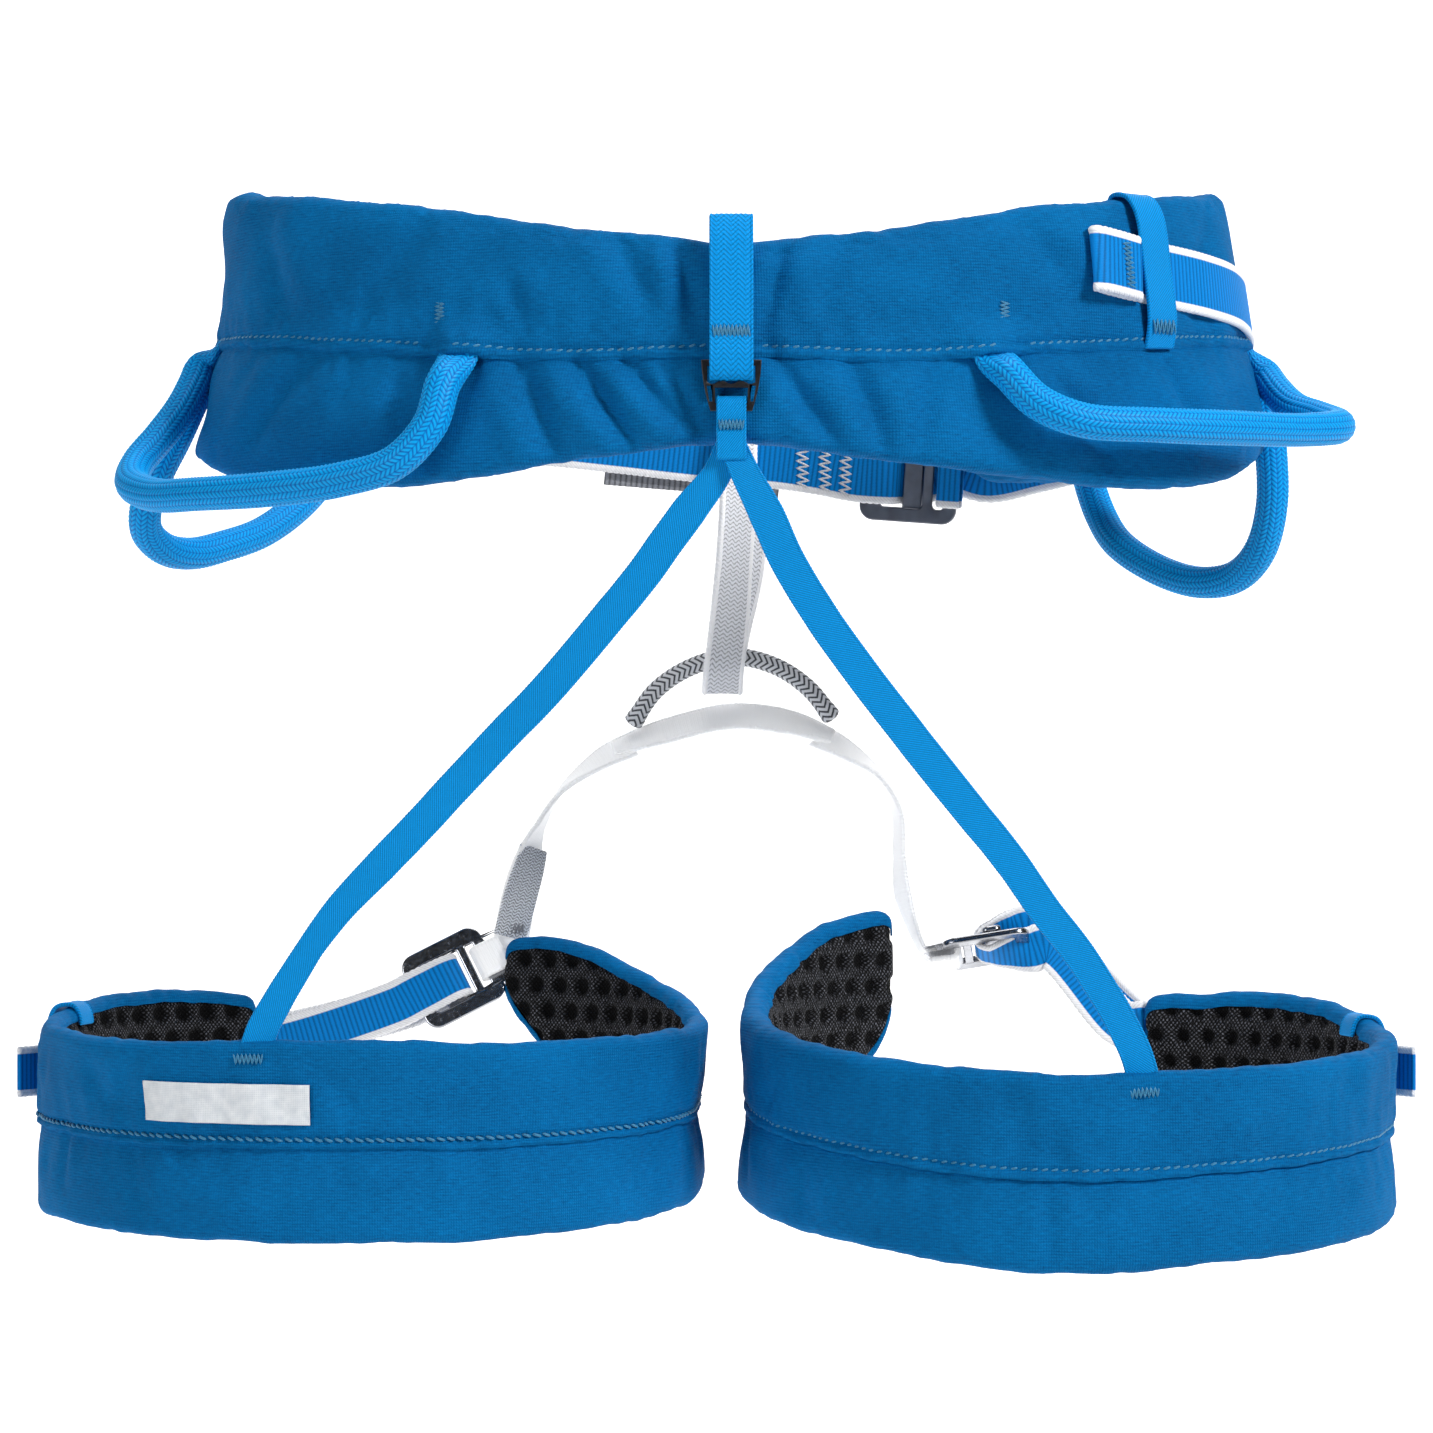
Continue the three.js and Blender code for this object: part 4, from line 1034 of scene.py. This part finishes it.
def braid_relief(at, turn):
    v = turn / (2 * np.pi) * PLAITS
    swing = 1 - np.abs(v % 2 - 1)
    strand = np.abs(np.sin(np.pi * (at / BRAID_PITCH + BRAID_SLANT * swing))) ** 0.6
    column = np.abs(np.sin(np.pi * v)) ** 0.5
    return 0.42 * (strand - 0.6) + 0.3 * (column - 0.6) + 0.08 * np.sin(at / 11.0)


def root_angle(end):
    return float(np.degrees(np.arctan2(end[0] / BELT["halfWidth"], -end[1] / BELT["halfDepth"])))


def tucked_end(end):
    """Two places on a gear loop's sewn end, under the seam's fold and just below it."""
    angle = root_angle(end)
    seam = float(BELT_SEAM(angle))
    deeper = 0 if abs(angle) < 60 else 1.5
    return [belt_point(angle, seam + 0.4, 0.9 - deeper), belt_point(angle, seam - 3.8, 2.2 - deeper / 2)]


for control in GEAR_LOOPS.values():
    for end in (control[0], control[-1]):
        angle = root_angle(end)
        BANDS["belt"].roots.append((float(BANDS["belt"].arc_of(angle)), 5.2 if abs(angle) < 60 else 1.0))


def make_gear_loops():
    for key, control in GEAR_LOOPS.items():
        free = control[1:] if key.startswith("rear") else control
        path = [*tucked_end(control[0]), *free, *reversed(tucked_end(control[-1]))]
        nodes = [f"gear_loop_{key}_sheath", f"gear_loop_{key}_core"]
        round_piece(f"gear_loop_{key}_braid", path, outward_at(path), GEAR_RADIUS, braid_relief, 112, 0.34,
                    BRAID, "gear_loop_braid", f"gear_loop_{key}", nodes, flat=(15, 0.68, 0.22))


# ---------------------------------------------------------------- buckles and the hook
BUCKLES = {
    "waist": {"webbing": 20, "length": 34, "window": [-10, 5], "slot": [8.5, 12.5], "slider": [-2.5, 4.5],
              "centre": [61.5, 96.6, -29], "u": [0.972, -0.22, -0.08], "w": [0.235, 0.966, 0.1]},
    "left": {"webbing": 16, "length": 30, "window": [-10, 5], "slot": [8, 11], "slider": [-6, 1],
             "centre": [-95.5, 87.5, -201.5], "u": [0.89, 0.05, 0.45], "w": [0.1, 0.95, -0.29]},
    "right": {"webbing": 16, "length": 30, "window": [-10, 5], "slot": [8, 11], "slider": [-6, 1],
              "centre": [88, 88, -193], "u": [-0.985, 0.05, -0.16], "w": [-0.14, 0.4, 0.9]},
}


def buckle_axes(buckle):
    """A buckle's directions along and across its webbing and out of its plate, and its centre."""
    u = unit(np.array(buckle["u"], float))
    w = np.array(buckle["w"], float)
    w = unit(w - u * (w @ u))
    return u, np.cross(w, u), w, np.array(buckle["centre"], float)


def in_buckle(buckle, along, out, sideways=0.0):
    u, v, w, centre = buckle_axes(buckle)
    return centre + u * along + v * sideways + w * out


def rounded_box(low, high, half, corner):
    """The outline of a box with round corners, from low to high and half to each side."""
    corners = [(high - corner, half - corner, 0), (low + corner, half - corner, 1),
               (low + corner, -half + corner, 2), (high - corner, -half + corner, 3)]
    turn = np.linspace(0, np.pi / 2, 9)
    return [
        (x + corner * np.cos(t + quarter * np.pi / 2), y + corner * np.sin(t + quarter * np.pi / 2))
        for x, y, quarter in corners for t in turn
    ]


def plate(name, outlines, thickness, bevel, place, finish, slot, body, node, arch=0.0, half=10.0):
    """A flat piece cut to outlines, its edges rounded, arched across, and set in place."""
    curve = bpy.data.curves.new(name, "CURVE")
    curve.dimensions = "2D"
    curve.fill_mode = "BOTH"
    curve.extrude = (thickness / 2 - bevel) * MM
    curve.bevel_depth = bevel * MM
    curve.bevel_resolution = 3
    curve.offset = -bevel * MM
    for outline in outlines:
        spline = curve.splines.new("POLY")
        spline.points.add(len(outline) - 1)
        for point, (x, y) in zip(spline.points, outline):
            point.co = (x * MM, y * MM, 0, 1)
        spline.use_cyclic_u = True
    flat = place_object(name + "_outline", curve)
    graph = bpy.context.evaluated_depsgraph_get()
    mesh = bpy.data.meshes.new_from_object(flat.evaluated_get(graph))
    bpy.data.objects.remove(flat)
    mesh.name = name
    for vertex in mesh.vertices:
        vertex.co.z += arch * MM * (1 - (vertex.co.y / (half * MM)) ** 2)
    mesh.transform(place)
    mesh.materials.clear()
    mesh.polygons.foreach_set("use_smooth", np.ones(len(mesh.polygons), bool))
    mesh.set_sharp_from_angle(angle=0.7)
    return add_object(name, mesh, finish, slot, body, [node])


def placement(axes, origin):
    """A matrix from three axes and an origin in millimetres."""
    matrix = Matrix(np.column_stack(axes).tolist()).to_4x4()
    matrix.translation = Vector(origin) * MM
    return matrix


def make_buckle(name, buckle, finish, slot, body):
    u, v, w, centre = buckle_axes(buckle)
    half = buckle["webbing"] / 2 + 1
    frame_lines = [rounded_box(-buckle["length"] / 2, buckle["length"] / 2, half + 5, 5)]
    frame_lines += [rounded_box(low, high, half, 1.6) for low, high in (buckle["window"], buckle["slot"])]
    place = placement((u, v, w), centre + w * PLATE / 2)
    plate(f"{name}_plate", frame_lines, PLATE, 0.6, place, finish, slot, body, f"{name}_frame", 0.5, half + 5)
    low, high = buckle["slider"]
    place = placement((u, v, w), centre + w * (SLIDER_LIFT + SLIDER_THICKNESS / 2))
    lines = [rounded_box(low, high, half + 4, 2.4)]
    lock = f"{name}_slider"
    plate(f"{name}_lock", lines, SLIDER_THICKNESS, 0.7, place, finish, slot, lock, lock, 0.4, half + 4)


HOOK = {"x": -0.6, "y": -115, "top": -6.2, "bottom": -21.4, "halfTop": 9, "halfBottom": 6.2,
        "thickness": 1.8}


def make_hook():
    outline, t = [], np.linspace(0, 1, 9)
    middle = (HOOK["top"] + HOOK["bottom"]) / 2
    for side, order in ((-1, t), (1, t[::-1])):
        for share in order:
            x = (1 - share) ** 2 * HOOK["halfTop"] + 2 * share * (1 - share) * (HOOK["halfTop"] - 0.3)
            x += share**2 * HOOK["halfBottom"]
            z = (1 - share) ** 2 * HOOK["top"] + 2 * share * (1 - share) * middle + share**2 * HOOK["bottom"]
            outline.append((side * x, z))
    wavy = [(x, -12.9 - 0.5 * np.cos(x * 1.1)) for x in np.linspace(-7.1, 7.1, 15)]
    upper = [(-7.1, -8), *wavy, (7.1, -8)]
    lower = [(-4.9, -14.5), (-4.7, -19.1), (4.7, -19.1), (4.9, -14.5)]
    arm = ((7.3, -13.9), (6.5, -18.6), (5.7, -18.6), (5.8, -13.9))
    slots = [[(side * x, z) for x, z in arm] for side in (-1, 1)]
    place = placement(((1, 0, 0), (0, 0, 1), (0, -1, 0)), (HOOK["x"], HOOK["y"], 0))
    plate("riser_hook_moulding", [outline, upper, lower, *slots], HOOK["thickness"], 0.3, place, PLASTIC,
          "black_plastic", "waist_belt", "riser_hook")


# ---------------------------------------------------------------- waist webbing
def anchor_fold(buckle, tail):
    """A webbing's way in at a buckle's far side, round its bar and back out, as [along, out]."""
    bar = (buckle["slot"][1] + buckle["length"] / 2) / 2
    in_slot = (buckle["slot"][0] + buckle["slot"][1]) / 2
    return [[tail, -1.2], [bar + 3, -1.4], [in_slot + 1.2, -1.3], [in_slot, PLATE / 2],
            [in_slot + 1.2, PLATE + 1.3], [bar + 3, PLATE + 1.4], [tail, PLATE + 0.6]]


def waist_strap_path():
    buckle = BUCKLES["waist"]
    v = buckle_axes(buckle)[1]
    up = v * np.sign(v[2])
    front = [[-151.9, -15, -2.9], [-158, -15.5, -4.6], [-166, -17.5, -5.4], [-176, -20.5, -5.4],
             [174, -23, -5.8], [168.5, -25.5, -7.2]]
    through = [[-18, -1.5, 0], [-7.5, -1.5, 0], [-5.4, 0.8, 0], [-4.2, 4.8, 0], [0, 6.6, 0],
               [8, 6.8, -1.8], [15, 6.8, -4.4]]
    tail = [[149, -28, 3.4], [143, -25.5, 1.9], [135, -21, 1.8], [126, -12.5, 1.8], [115, -2, 2.2],
            [103, 9, 3], [90, 16.5, 3], [76, 20.5, 3], [64, 22.5, 2.6], [52, 24.5, 2.2], [46, 26, 2.6],
            [42.6, 27, 4.2], [41.6, 27.3, 5.6], [42.6, 27.1, 6.7], [45.5, 26.3, 5.9], [49.3, 25.2, 4.4]]
    points = [belt_point(*spot) for spot in front] + [in_buckle(buckle, *spot) for spot in through]
    points += [belt_point(*spot) for spot in tail]
    across = [belt_up(angle, z) for angle, z, _ in front] + [up] * len(through)
    across += [belt_up(angle, z) for angle, z, _ in tail]
    return np.array(points), np.array(across)


def make_waist_webbing():
    points, across = waist_strap_path()
    webbing("waist_strap_ribbed", points, 20, 1.8, "waist_belt", across=across, swell=0.22, depth=0.24,
            scallop=0.26, step=0.29, stands_for=["waist_strap"], **STRAP)
    buckle = BUCKLES["waist"]
    v = buckle_axes(buckle)[1]
    fold = [in_buckle(buckle, along, out) for along, out in anchor_fold(buckle, 18.2)]
    webbing("waist_buckle_anchor_ribbed", fold, 20, 1.4, "waist_belt", across=v, step=0.3,
            stands_for=["waist_buckle_anchor"], **STRAP)
    line, along, hint, at = even_path(points, 0.5, across)
    tacks = []
    half_way = len(line) // 2
    for x in (25, 32.5, 40):  # on the strap's front run, which is where y is over 60
        i = int(np.argmin(np.abs(line[:half_way, 0] - x) + 1000 * (line[:half_way, 1] < 60)))
        inward = unit(np.cross(hint[i], along[i]))
        inward = inward * -np.sign(inward[1])
        tacks.append(bartack(line[i] + inward * 1.15, hint[i], along[i], 16.5, 4.2, 2.6, 0.36))
    thread_object("waist_strap_front_bartacks", tacks, WHITE_THREAD, "white_webbing", "waist_belt")
    i = int(len(line) - 14 / (at[1] - at[0]))
    centre = belt_point(46.5, 26, 6.9)
    tail_tack = bartack(centre, belt_up(46.5, 26), along[i], 14, 3.4, 1.6, 0.3)
    thread_object("waist_strap_tail_bartack", [tail_tack], TEAL_THREAD, "blue_webbing", "waist_belt")
    make_buckle("waist_buckle", buckle, DARK_STEEL, "dark_steel", "waist_belt")


def add_keeper(name, node, body, width, place, angle, top, bottom, outside):
    """An elastic keeper over a band's top edge and down over a strap's tail, and its way across."""
    inside = KEEPER_INSIDE
    path = [[top - 6, inside + 1.6], [top - 2, inside + 2.4], [top + 0.2, inside + 4], [top + 0.7, -2.6],
            [top - 0.6, 1.2], [top - 6, outside], [(top + bottom) / 2, outside + 0.3],
            [bottom + 8, outside], [bottom - 1, 1.3]]
    points = [place(angle, z, outset) for z, outset in path]
    across = unit(place(angle + 1, 0.0) - place(angle - 1, 0.0))
    webbing(name, points, width, 1.2, body, across=across, stands_for=[node], **ELASTIC)
    return across


def make_keepers():
    across = add_keeper("waist_keeper_elastic", "waist_strap_keeper", "waist_belt", 12, belt_point, 52,
                        float(BELT_TOP(52)), 2, 4.3)
    tack = bartack(belt_point(52, 7.6, 4.7), across, [0, 0, 1], 9.5, 4.2, 1.7, 0.3)
    thread_object("waist_keeper_bartack", [tack], TEAL_THREAD, "blue_elastic", "waist_belt")
    for key, leg in LEGS.items():
        add_keeper(f"leg_{key}_keeper_elastic", f"leg_keeper_{key}", f"leg_loop_{key}", 10, leg_place(leg),
                   104, float(leg["top"](104)), -244, 3.5)


# ---------------------------------------------------------------- haul loop and risers
def make_haul_loop():
    path = [[-107.4, 30], [-109.4, 37], [-112.4, 32], [-115, 16], [-116.2, 3], [-117.7, -5.4],
            [-117, -10], [-115, -11.6], [-113, -10], [-112.3, -5.4], [-111.2, 4], [-109.6, 18]]
    points = [[HOOK["x"], y, z] for y, z in path]
    webbing("haul_loop_herringbone", points, 13, 1.6, "waist_belt", across=[1, 0, 0], closed=True,
            stands_for=["haul_loop"], **HAUL)
    tack = bartack([HOOK["x"], -117.2, 2.2], [1, 0, 0], [0, 0.08, 1], 11, 3.6, 1.15, 0.3)
    small = bartack([HOOK["x"], -118.0, -25.6], [1, 0, 0], [0, 0.02, 1], 7.4, 3.0, 1.05, 0.26)
    thread_object("haul_loop_bartacks", [tack, small], TEAL_THREAD, "blue_webbing", "waist_belt")
    turn = -17.6  # the height where the elastic goes over the hook's bar
    path = [[-112.9, -34], [-112.9, -27], [-113, turn - 2.8], [-113.6, turn - 0.8], [-115, turn],
            [-116.4, turn - 0.8], [-117, turn - 2.8], [-117.1, -27], [-117.2, -36]]
    points = [[HOOK["x"], y, z] for y, z in path]
    webbing("riser_top_elastic", points, 8.8, 1.3, "waist_belt", across=[1, 0, 0],
            stands_for=["riser_top_loop"], **ELASTIC)


RISERS = {
    "left": [[-1, -114.4, -31], [-5, -113.6, -40], [-13, -112.4, -50.5], [-28, -110, -71],
             [-52.5, -106, -100.5], [-71.5, -102, -120.5], [-106, -98, -157], [-119, -96, -170.5],
             [-129.5, -94, -185], [-137.4, -92.6, -198], [-142.2, -91.2, -207], [-144.4, -90.4, -215]],
    "right": [[-0.4, -115.7, -31], [3.5, -116.2, -40], [9, -115, -50.5], [19, -111, -71],
              [39.5, -106, -100.5], [62, -102, -129], [84, -99, -156.5], [94, -97, -170.5],
              [104.5, -95, -184], [113.5, -93.6, -198], [121.2, -92.8, -212.5], [123.6, -92, -220],
              [125, -91.8, -227]],
}
RISER_WIDTHS = {  # share of the way down, share of the full width
    "left": [(0, 0.76), (0.04, 0.82), (0.1, 1), (0.7, 0.96), (0.84, 0.78), (0.95, 0.9), (1, 1)],
    "right": [(0, 0.76), (0.04, 0.82), (0.1, 1), (0.5, 1), (0.85, 0.9), (1, 0.95)],
}


def make_risers():
    for key, control in RISERS.items():
        riser = webbing(f"leg_{key}_riser_elastic", control, 10.4, 1.5, None, facing=[0, -1, 0],
                        stands_for=[f"leg_riser_{key}"], width_at=RISER_WIDTHS[key], wobble=0.12, seed=3,
                        **ELASTIC | {"depth": 0.12, "scallop": 0.14, "fine": 26})
        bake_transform(riser)


# ---------------------------------------------------------------- belay loop and tie-in points
def zigzag_relief(at, turn):
    v = turn / (2 * np.pi) * 8
    swing = 1 - np.abs(v % 2 - 1)
    return 0.3 * (np.abs(np.sin(np.pi * (at / ZIGZAG_PITCH + ZIGZAG_SLANT * swing))) ** 0.6 - 0.6)


def make_tie_in():
    loop = [[3, 101, -11.5], [2.5, 99.4, -35], [1, 96, -60], [-1, 92.4, -84], [-2.5, 92, -96],
            [-3, 97.6, -103], [-2.6, 103.6, -96], [-0.5, 105.4, -84], [5.5, 108.6, -58],
            [6, 112.2, -33], [5, 112.6, -11.5], [4, 106.8, -3]]
    turned = [[0.86, 0.5 if z > -70 else 0.2, 0] for _, _, z in loop]
    webbing("belay_loop_webbing", loop, 14, 2.2, "belay_loop", across=turned, closed=True,
            stands_for=["belay_loop"], **BELAY)
    spots = [[-165, -20.5], [-171, -21.8], [-178, -23.4], [-186, -26]]
    points = [belt_point(angle, z, -2.6) for angle, z in spots]
    across = [belt_up(angle, z) for angle, z in spots]
    webbing("tie_in_upper_sleeve", points, 22, 1.4, "waist_belt", across=across,
            stands_for=["tie_in_protector_upper"], **PROTECTOR | {"kind": "herringbone"})
    arc = [[-34.5, 98, -115], [-26, 98, -103], [-14, 98, -95], [0.5, 98, -91.3], [15, 98, -94.5],
           [26.5, 98, -102], [35.5, 98, -113]]
    round_piece("tie_in_lower_sleeve", arc, [[0, -1, 0]] * len(arc), 3.0, zigzag_relief, 64, 0.35,
                SLEEVE, "grey_webbing", "waist_belt", ["tie_in_protector_lower"], flat=(7, 0.3, 0.1))
    bridge = [[-41, 98, -123], [-24, 98, -117.5], [0, 98, -112], [20, 98, -114], [35.5, 98, -119]]
    webbing("tie_in_bridge_webbing", bridge, 12, 1.6, "waist_belt", across=[0, 0.72, 0.7],
            width_at=[(0, 0.5), (0.12, 0.85), (0.25, 1), (0.75, 1), (0.88, 0.85), (1, 0.5)],
            stands_for=["tie_in_bridge"], **WEB | {"step": 0.28})


LEG_WEBS = {  # each web's route, and its direction across at each point
    "left": ([[-34, 99.2, -121.5], [-44.5, 98, -126.5], [-58, 97, -137], [-66, 95.5, -150],
              [-70.5, 93.5, -163], [-73.5, 92.5, -176]],
             [[0, 0.72, 0.7], [0, 0.8, 0.6], [0.05, 0.98, 0.2], [0.2, 0.97, 0], [0.75, 0.65, 0],
              [0.98, 0.2, 0.05]]),
    "right": ([[29, 99.2, -118.2], [38.5, 98, -122.8], [51, 97, -132], [57.5, 95.5, -145],
               [58.2, 93.5, -160], [59.5, 92, -174]],
              [[0, 0.72, 0.7], [0, 0.8, 0.6], [-0.05, 0.98, 0.2], [-0.2, 0.97, 0], [-0.22, 0.97, 0],
               [-0.4, 0.9, 0.05]]),
}
DOUBLING = (
    [[-68, 93.3, -157], [-69.7, 92.2, -164], [-73, 91, -176], [-76, 90, -188]],
    [[0.75, 0.65, 0], [0.88, 0.45, 0], [0.98, 0.2, 0.05], [0.98, 0.2, 0.05]],
)


def make_leg_webs():
    for key, (path, across) in LEG_WEBS.items():
        buckle = BUCKLES[key]
        v = buckle_axes(buckle)[1]
        flat = v * (np.sign(v @ np.array(across[-1])) or 1)
        fold = [in_buckle(buckle, along, out) for along, out in reversed(anchor_fold(buckle, 20))]
        across = [*across, *([flat] * len(fold))]
        web = webbing(f"leg_{key}_web", [*path, *fold], 12, 1.6, None, across=across,
                      stands_for=[f"leg_web_{key}"], **WEB)
        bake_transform(web)
        if key == "left":
            path, across = DOUBLING
            doubling = webbing("leg_left_web_doubling", path, 11.5, 1.5, None, across=across, **DOUBLED)
            tack = bartack([-75.2, 89.4, -185], [0.98, 0.1, 0], [-0.2, -0.1, -1], 8, 3.4, 1.3, 0.3)
            tack = thread_object("leg_left_web_bartack", [tack], GREY_THREAD, "grey_webbing", None)
            for piece in (doubling, tack):
                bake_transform(piece)


# ---------------------------------------------------------------- leg straps
def make_leg_straps():
    for key, leg in LEGS.items():
        buckle = BUCKLES[key]
        place = leg_place(leg)
        v = buckle_axes(buckle)[1]
        flat = v * (np.sign(v[2]) or 1) * (1 if abs(v[2]) > 0.3 else -1)
        end = leg["outerEnd"]
        middle = float(leg["top"](end) + leg["bottom"](end)) / 2 + (7 if key == "right" else 0)
        start = [[end + 0.7, -3.4], [end + 5, -3.4]]
        through = [[-22, -1.6], [-15, -1.5], [-8, -1.4], [-1, -1.2], [2.4, 0.6], [3.1, 3.4], [1.6, 6],
                   [-3, 6.4], [-10, 6.2], [-17, 5.8]]
        lying = [[angle, LEG_TAIL_LIFT] for angle in (end - 3, 142, 130, 118, 108)]
        tail = [[end + 3, 1.9], *lying, [100, 1.6], [94, 4], [90.5, 8.5]]
        shares = [max(0, (angle - 100) / (end - 100)) for angle, _ in tail]
        height = [LEG_TAIL_END_Z + (middle - LEG_TAIL_END_Z) * share for share in shares]
        points = [place(angle, middle, outset) for angle, outset in start]
        points += [in_buckle(buckle, along, out) for along, out in through]
        points += [place(angle, z, outset) for (angle, outset), z in zip(tail, height)]
        upright = [1, 0.85, 0.4, 0, 0, 0, 0, 0.25, 0.7, 1]
        turned = [unit(flat * (1 - share) + np.array([0, 0, share])) for share in upright]
        across = [[0, 0, 1]] * len(start) + turned + [[0, 0, 1]] * len(tail)
        webbing(f"leg_{key}_strap_ribbed", points, 16, 1.5, f"leg_loop_{key}", across=across,
                stands_for=[f"leg_strap_{key}"], **LEG_STRAP)
        make_buckle(f"leg_buckle_{key}", buckle, BRIGHT_STEEL, "bright_steel", f"leg_loop_{key}")


def make_label():
    band = BANDS["left"]
    arcs = band.arc_of(np.linspace(36, 6, 90))
    rows = []
    for z in np.linspace(-235, -223, 26):
        place, outward = on_shell(band, arcs, z)
        rows.append(place + outward * 0.75)
    grid = np.stack(rows, axis=1)
    v = np.linspace(-6, 6, 26)
    mesh = grid_mesh("leg_left_blank_label", grid, arcs, np.append(v, v[-1]), flip=True)
    label = add_object("leg_left_blank_label", mesh, LABEL, "label", "leg_loop_left", ["leg_loop_label"])
    thicken(label, LABEL_CLOTH)


# ---------------------------------------------------------------- stitching on the shells
def make_stitching():
    belt = BANDS["belt"]
    gaps = [(-97, -85), (78, 92), (-8, 8), (134, 146)]  # at the gear loops, the haul loop and the keeper
    parts = [seam_stitches(belt, gaps)]
    for arc in (-91, 84):
        parts.append(patch(belt, arc, 8.5, 9, 3.2, upright=True, pitch=1.2, radius=0.3))
    thread_object("belt_stitching", parts, TEAL_THREAD, "shell_fabric", "waist_belt")
    for key, x_entry in (("left", -146), ("right", 124)):
        band, leg = BANDS[key], LEGS[key]
        angle = np.degrees(np.arcsin((abs(x_entry) - leg["centreX"]) / leg["halfWidth"]))
        arc = float(band.arc_of(angle))
        z = float(leg["top"](angle)) - 5.2
        parts = [seam_stitches(band), patch(band, arc, z, 9, 3.0, pitch=1.3, radius=0.28)]
        thread_object(f"leg_{key}_stitching", parts, TEAL_THREAD, "shell_fabric", f"leg_loop_{key}")


# ---------------------------------------------------------------- studio
LIGHTS = {  # where each is, how wide it is and how strong
    "key": ((2.0, -1.7, 1.5), 0.7, 82), "fill": ((-1.8, -1.8, 0.3), 1.2, 24),
    "top": ((0.0, 0.0, 2.0), 1.2, 22), "back": ((0.2, 1.8, 0.9), 1.2, 8),
}


def make_camera(scene):
    camera = place_object("camera", bpy.data.cameras.new("camera"))
    camera.data.lens = CAMERA_LENS
    camera.data.sensor_width = SENSOR
    camera.location = CAMERA_PLACE
    camera.rotation_euler = (np.pi / 2, 0, 0)
    scene.camera = camera


def make_sky(scene):
    """Pale light, strongest from above and from behind the harness."""
    world = bpy.data.worlds.new("studio")
    world.use_nodes = True
    sky = Nodes(world.node_tree)
    _, depth, height = sky.parts(sky.place("Generated"))
    light = sky.between(height, -0.2, 0.9, 0.3, 0.9) * sky.between(depth, -0.9, 0.1, 0.2, 1.0)
    sky.put(world.node_tree.nodes["Background"].inputs["Strength"], light)
    scene.world = world


def make_floor():
    """A pale floor that curves up behind the harness and is brightest there."""
    pale = Finish("studio_floor", Roughness=0.9, Specular_IOR_Level=0.1)
    pale.set("Emission Color", (1, 1, 1, 1))
    depth = pale.parts(pale.place())[1]
    pale.set("Emission Strength", pale.between(depth, -0.8, 0.9, 0.05, 0.85))
    shade = pale.between(depth, -0.8, 0.9)
    pale.set("Base Color", pale.mix(shade, srgb(200, 200, 200), srgb(250, 250, 250)))
    level, radius = FLOOR_Z / MM, 2000
    run = [[y, level] for y in (-4000, -2000, 0, 2000)]
    turn = np.linspace(0.1, np.pi / 2, 12)
    run += [[2000 + radius * np.sin(a), level + radius * (1 - np.cos(a))] for a in turn]
    run += [[4000, 5000]]
    grid = np.array([[[x, y, z] for x in np.linspace(-6000, 6000, 5)] for y, z in run])
    rows, ring = grid.shape[:2]
    mesh = grid_mesh("studio_floor", grid, np.arange(rows), np.arange(ring + 1), flip=True)
    floor = place_object("studio_floor", mesh)
    mesh.materials.append(pale.material)


def make_lights():
    for name, (place, size, power) in LIGHTS.items():
        light = bpy.data.lights.new(name, "AREA")
        light.size = size
        light.energy = power
        lamp = place_object(name, light)
        lamp.location = place
        lamp.rotation_euler = (Vector((0, 0, -0.1)) - Vector(place)).to_track_quat("-Z", "Y").to_euler()


def make_studio():
    scene = bpy.context.scene
    scene.view_settings.view_transform = "Standard"
    make_camera(scene)
    make_sky(scene)
    make_floor()
    make_lights()


make_bands()
make_gear_loops()
make_waist_webbing()
make_keepers()
make_haul_loop()
make_hook()
make_risers()
make_tie_in()
make_leg_webs()
make_leg_straps()
make_label()
make_stitching()
make_studio()
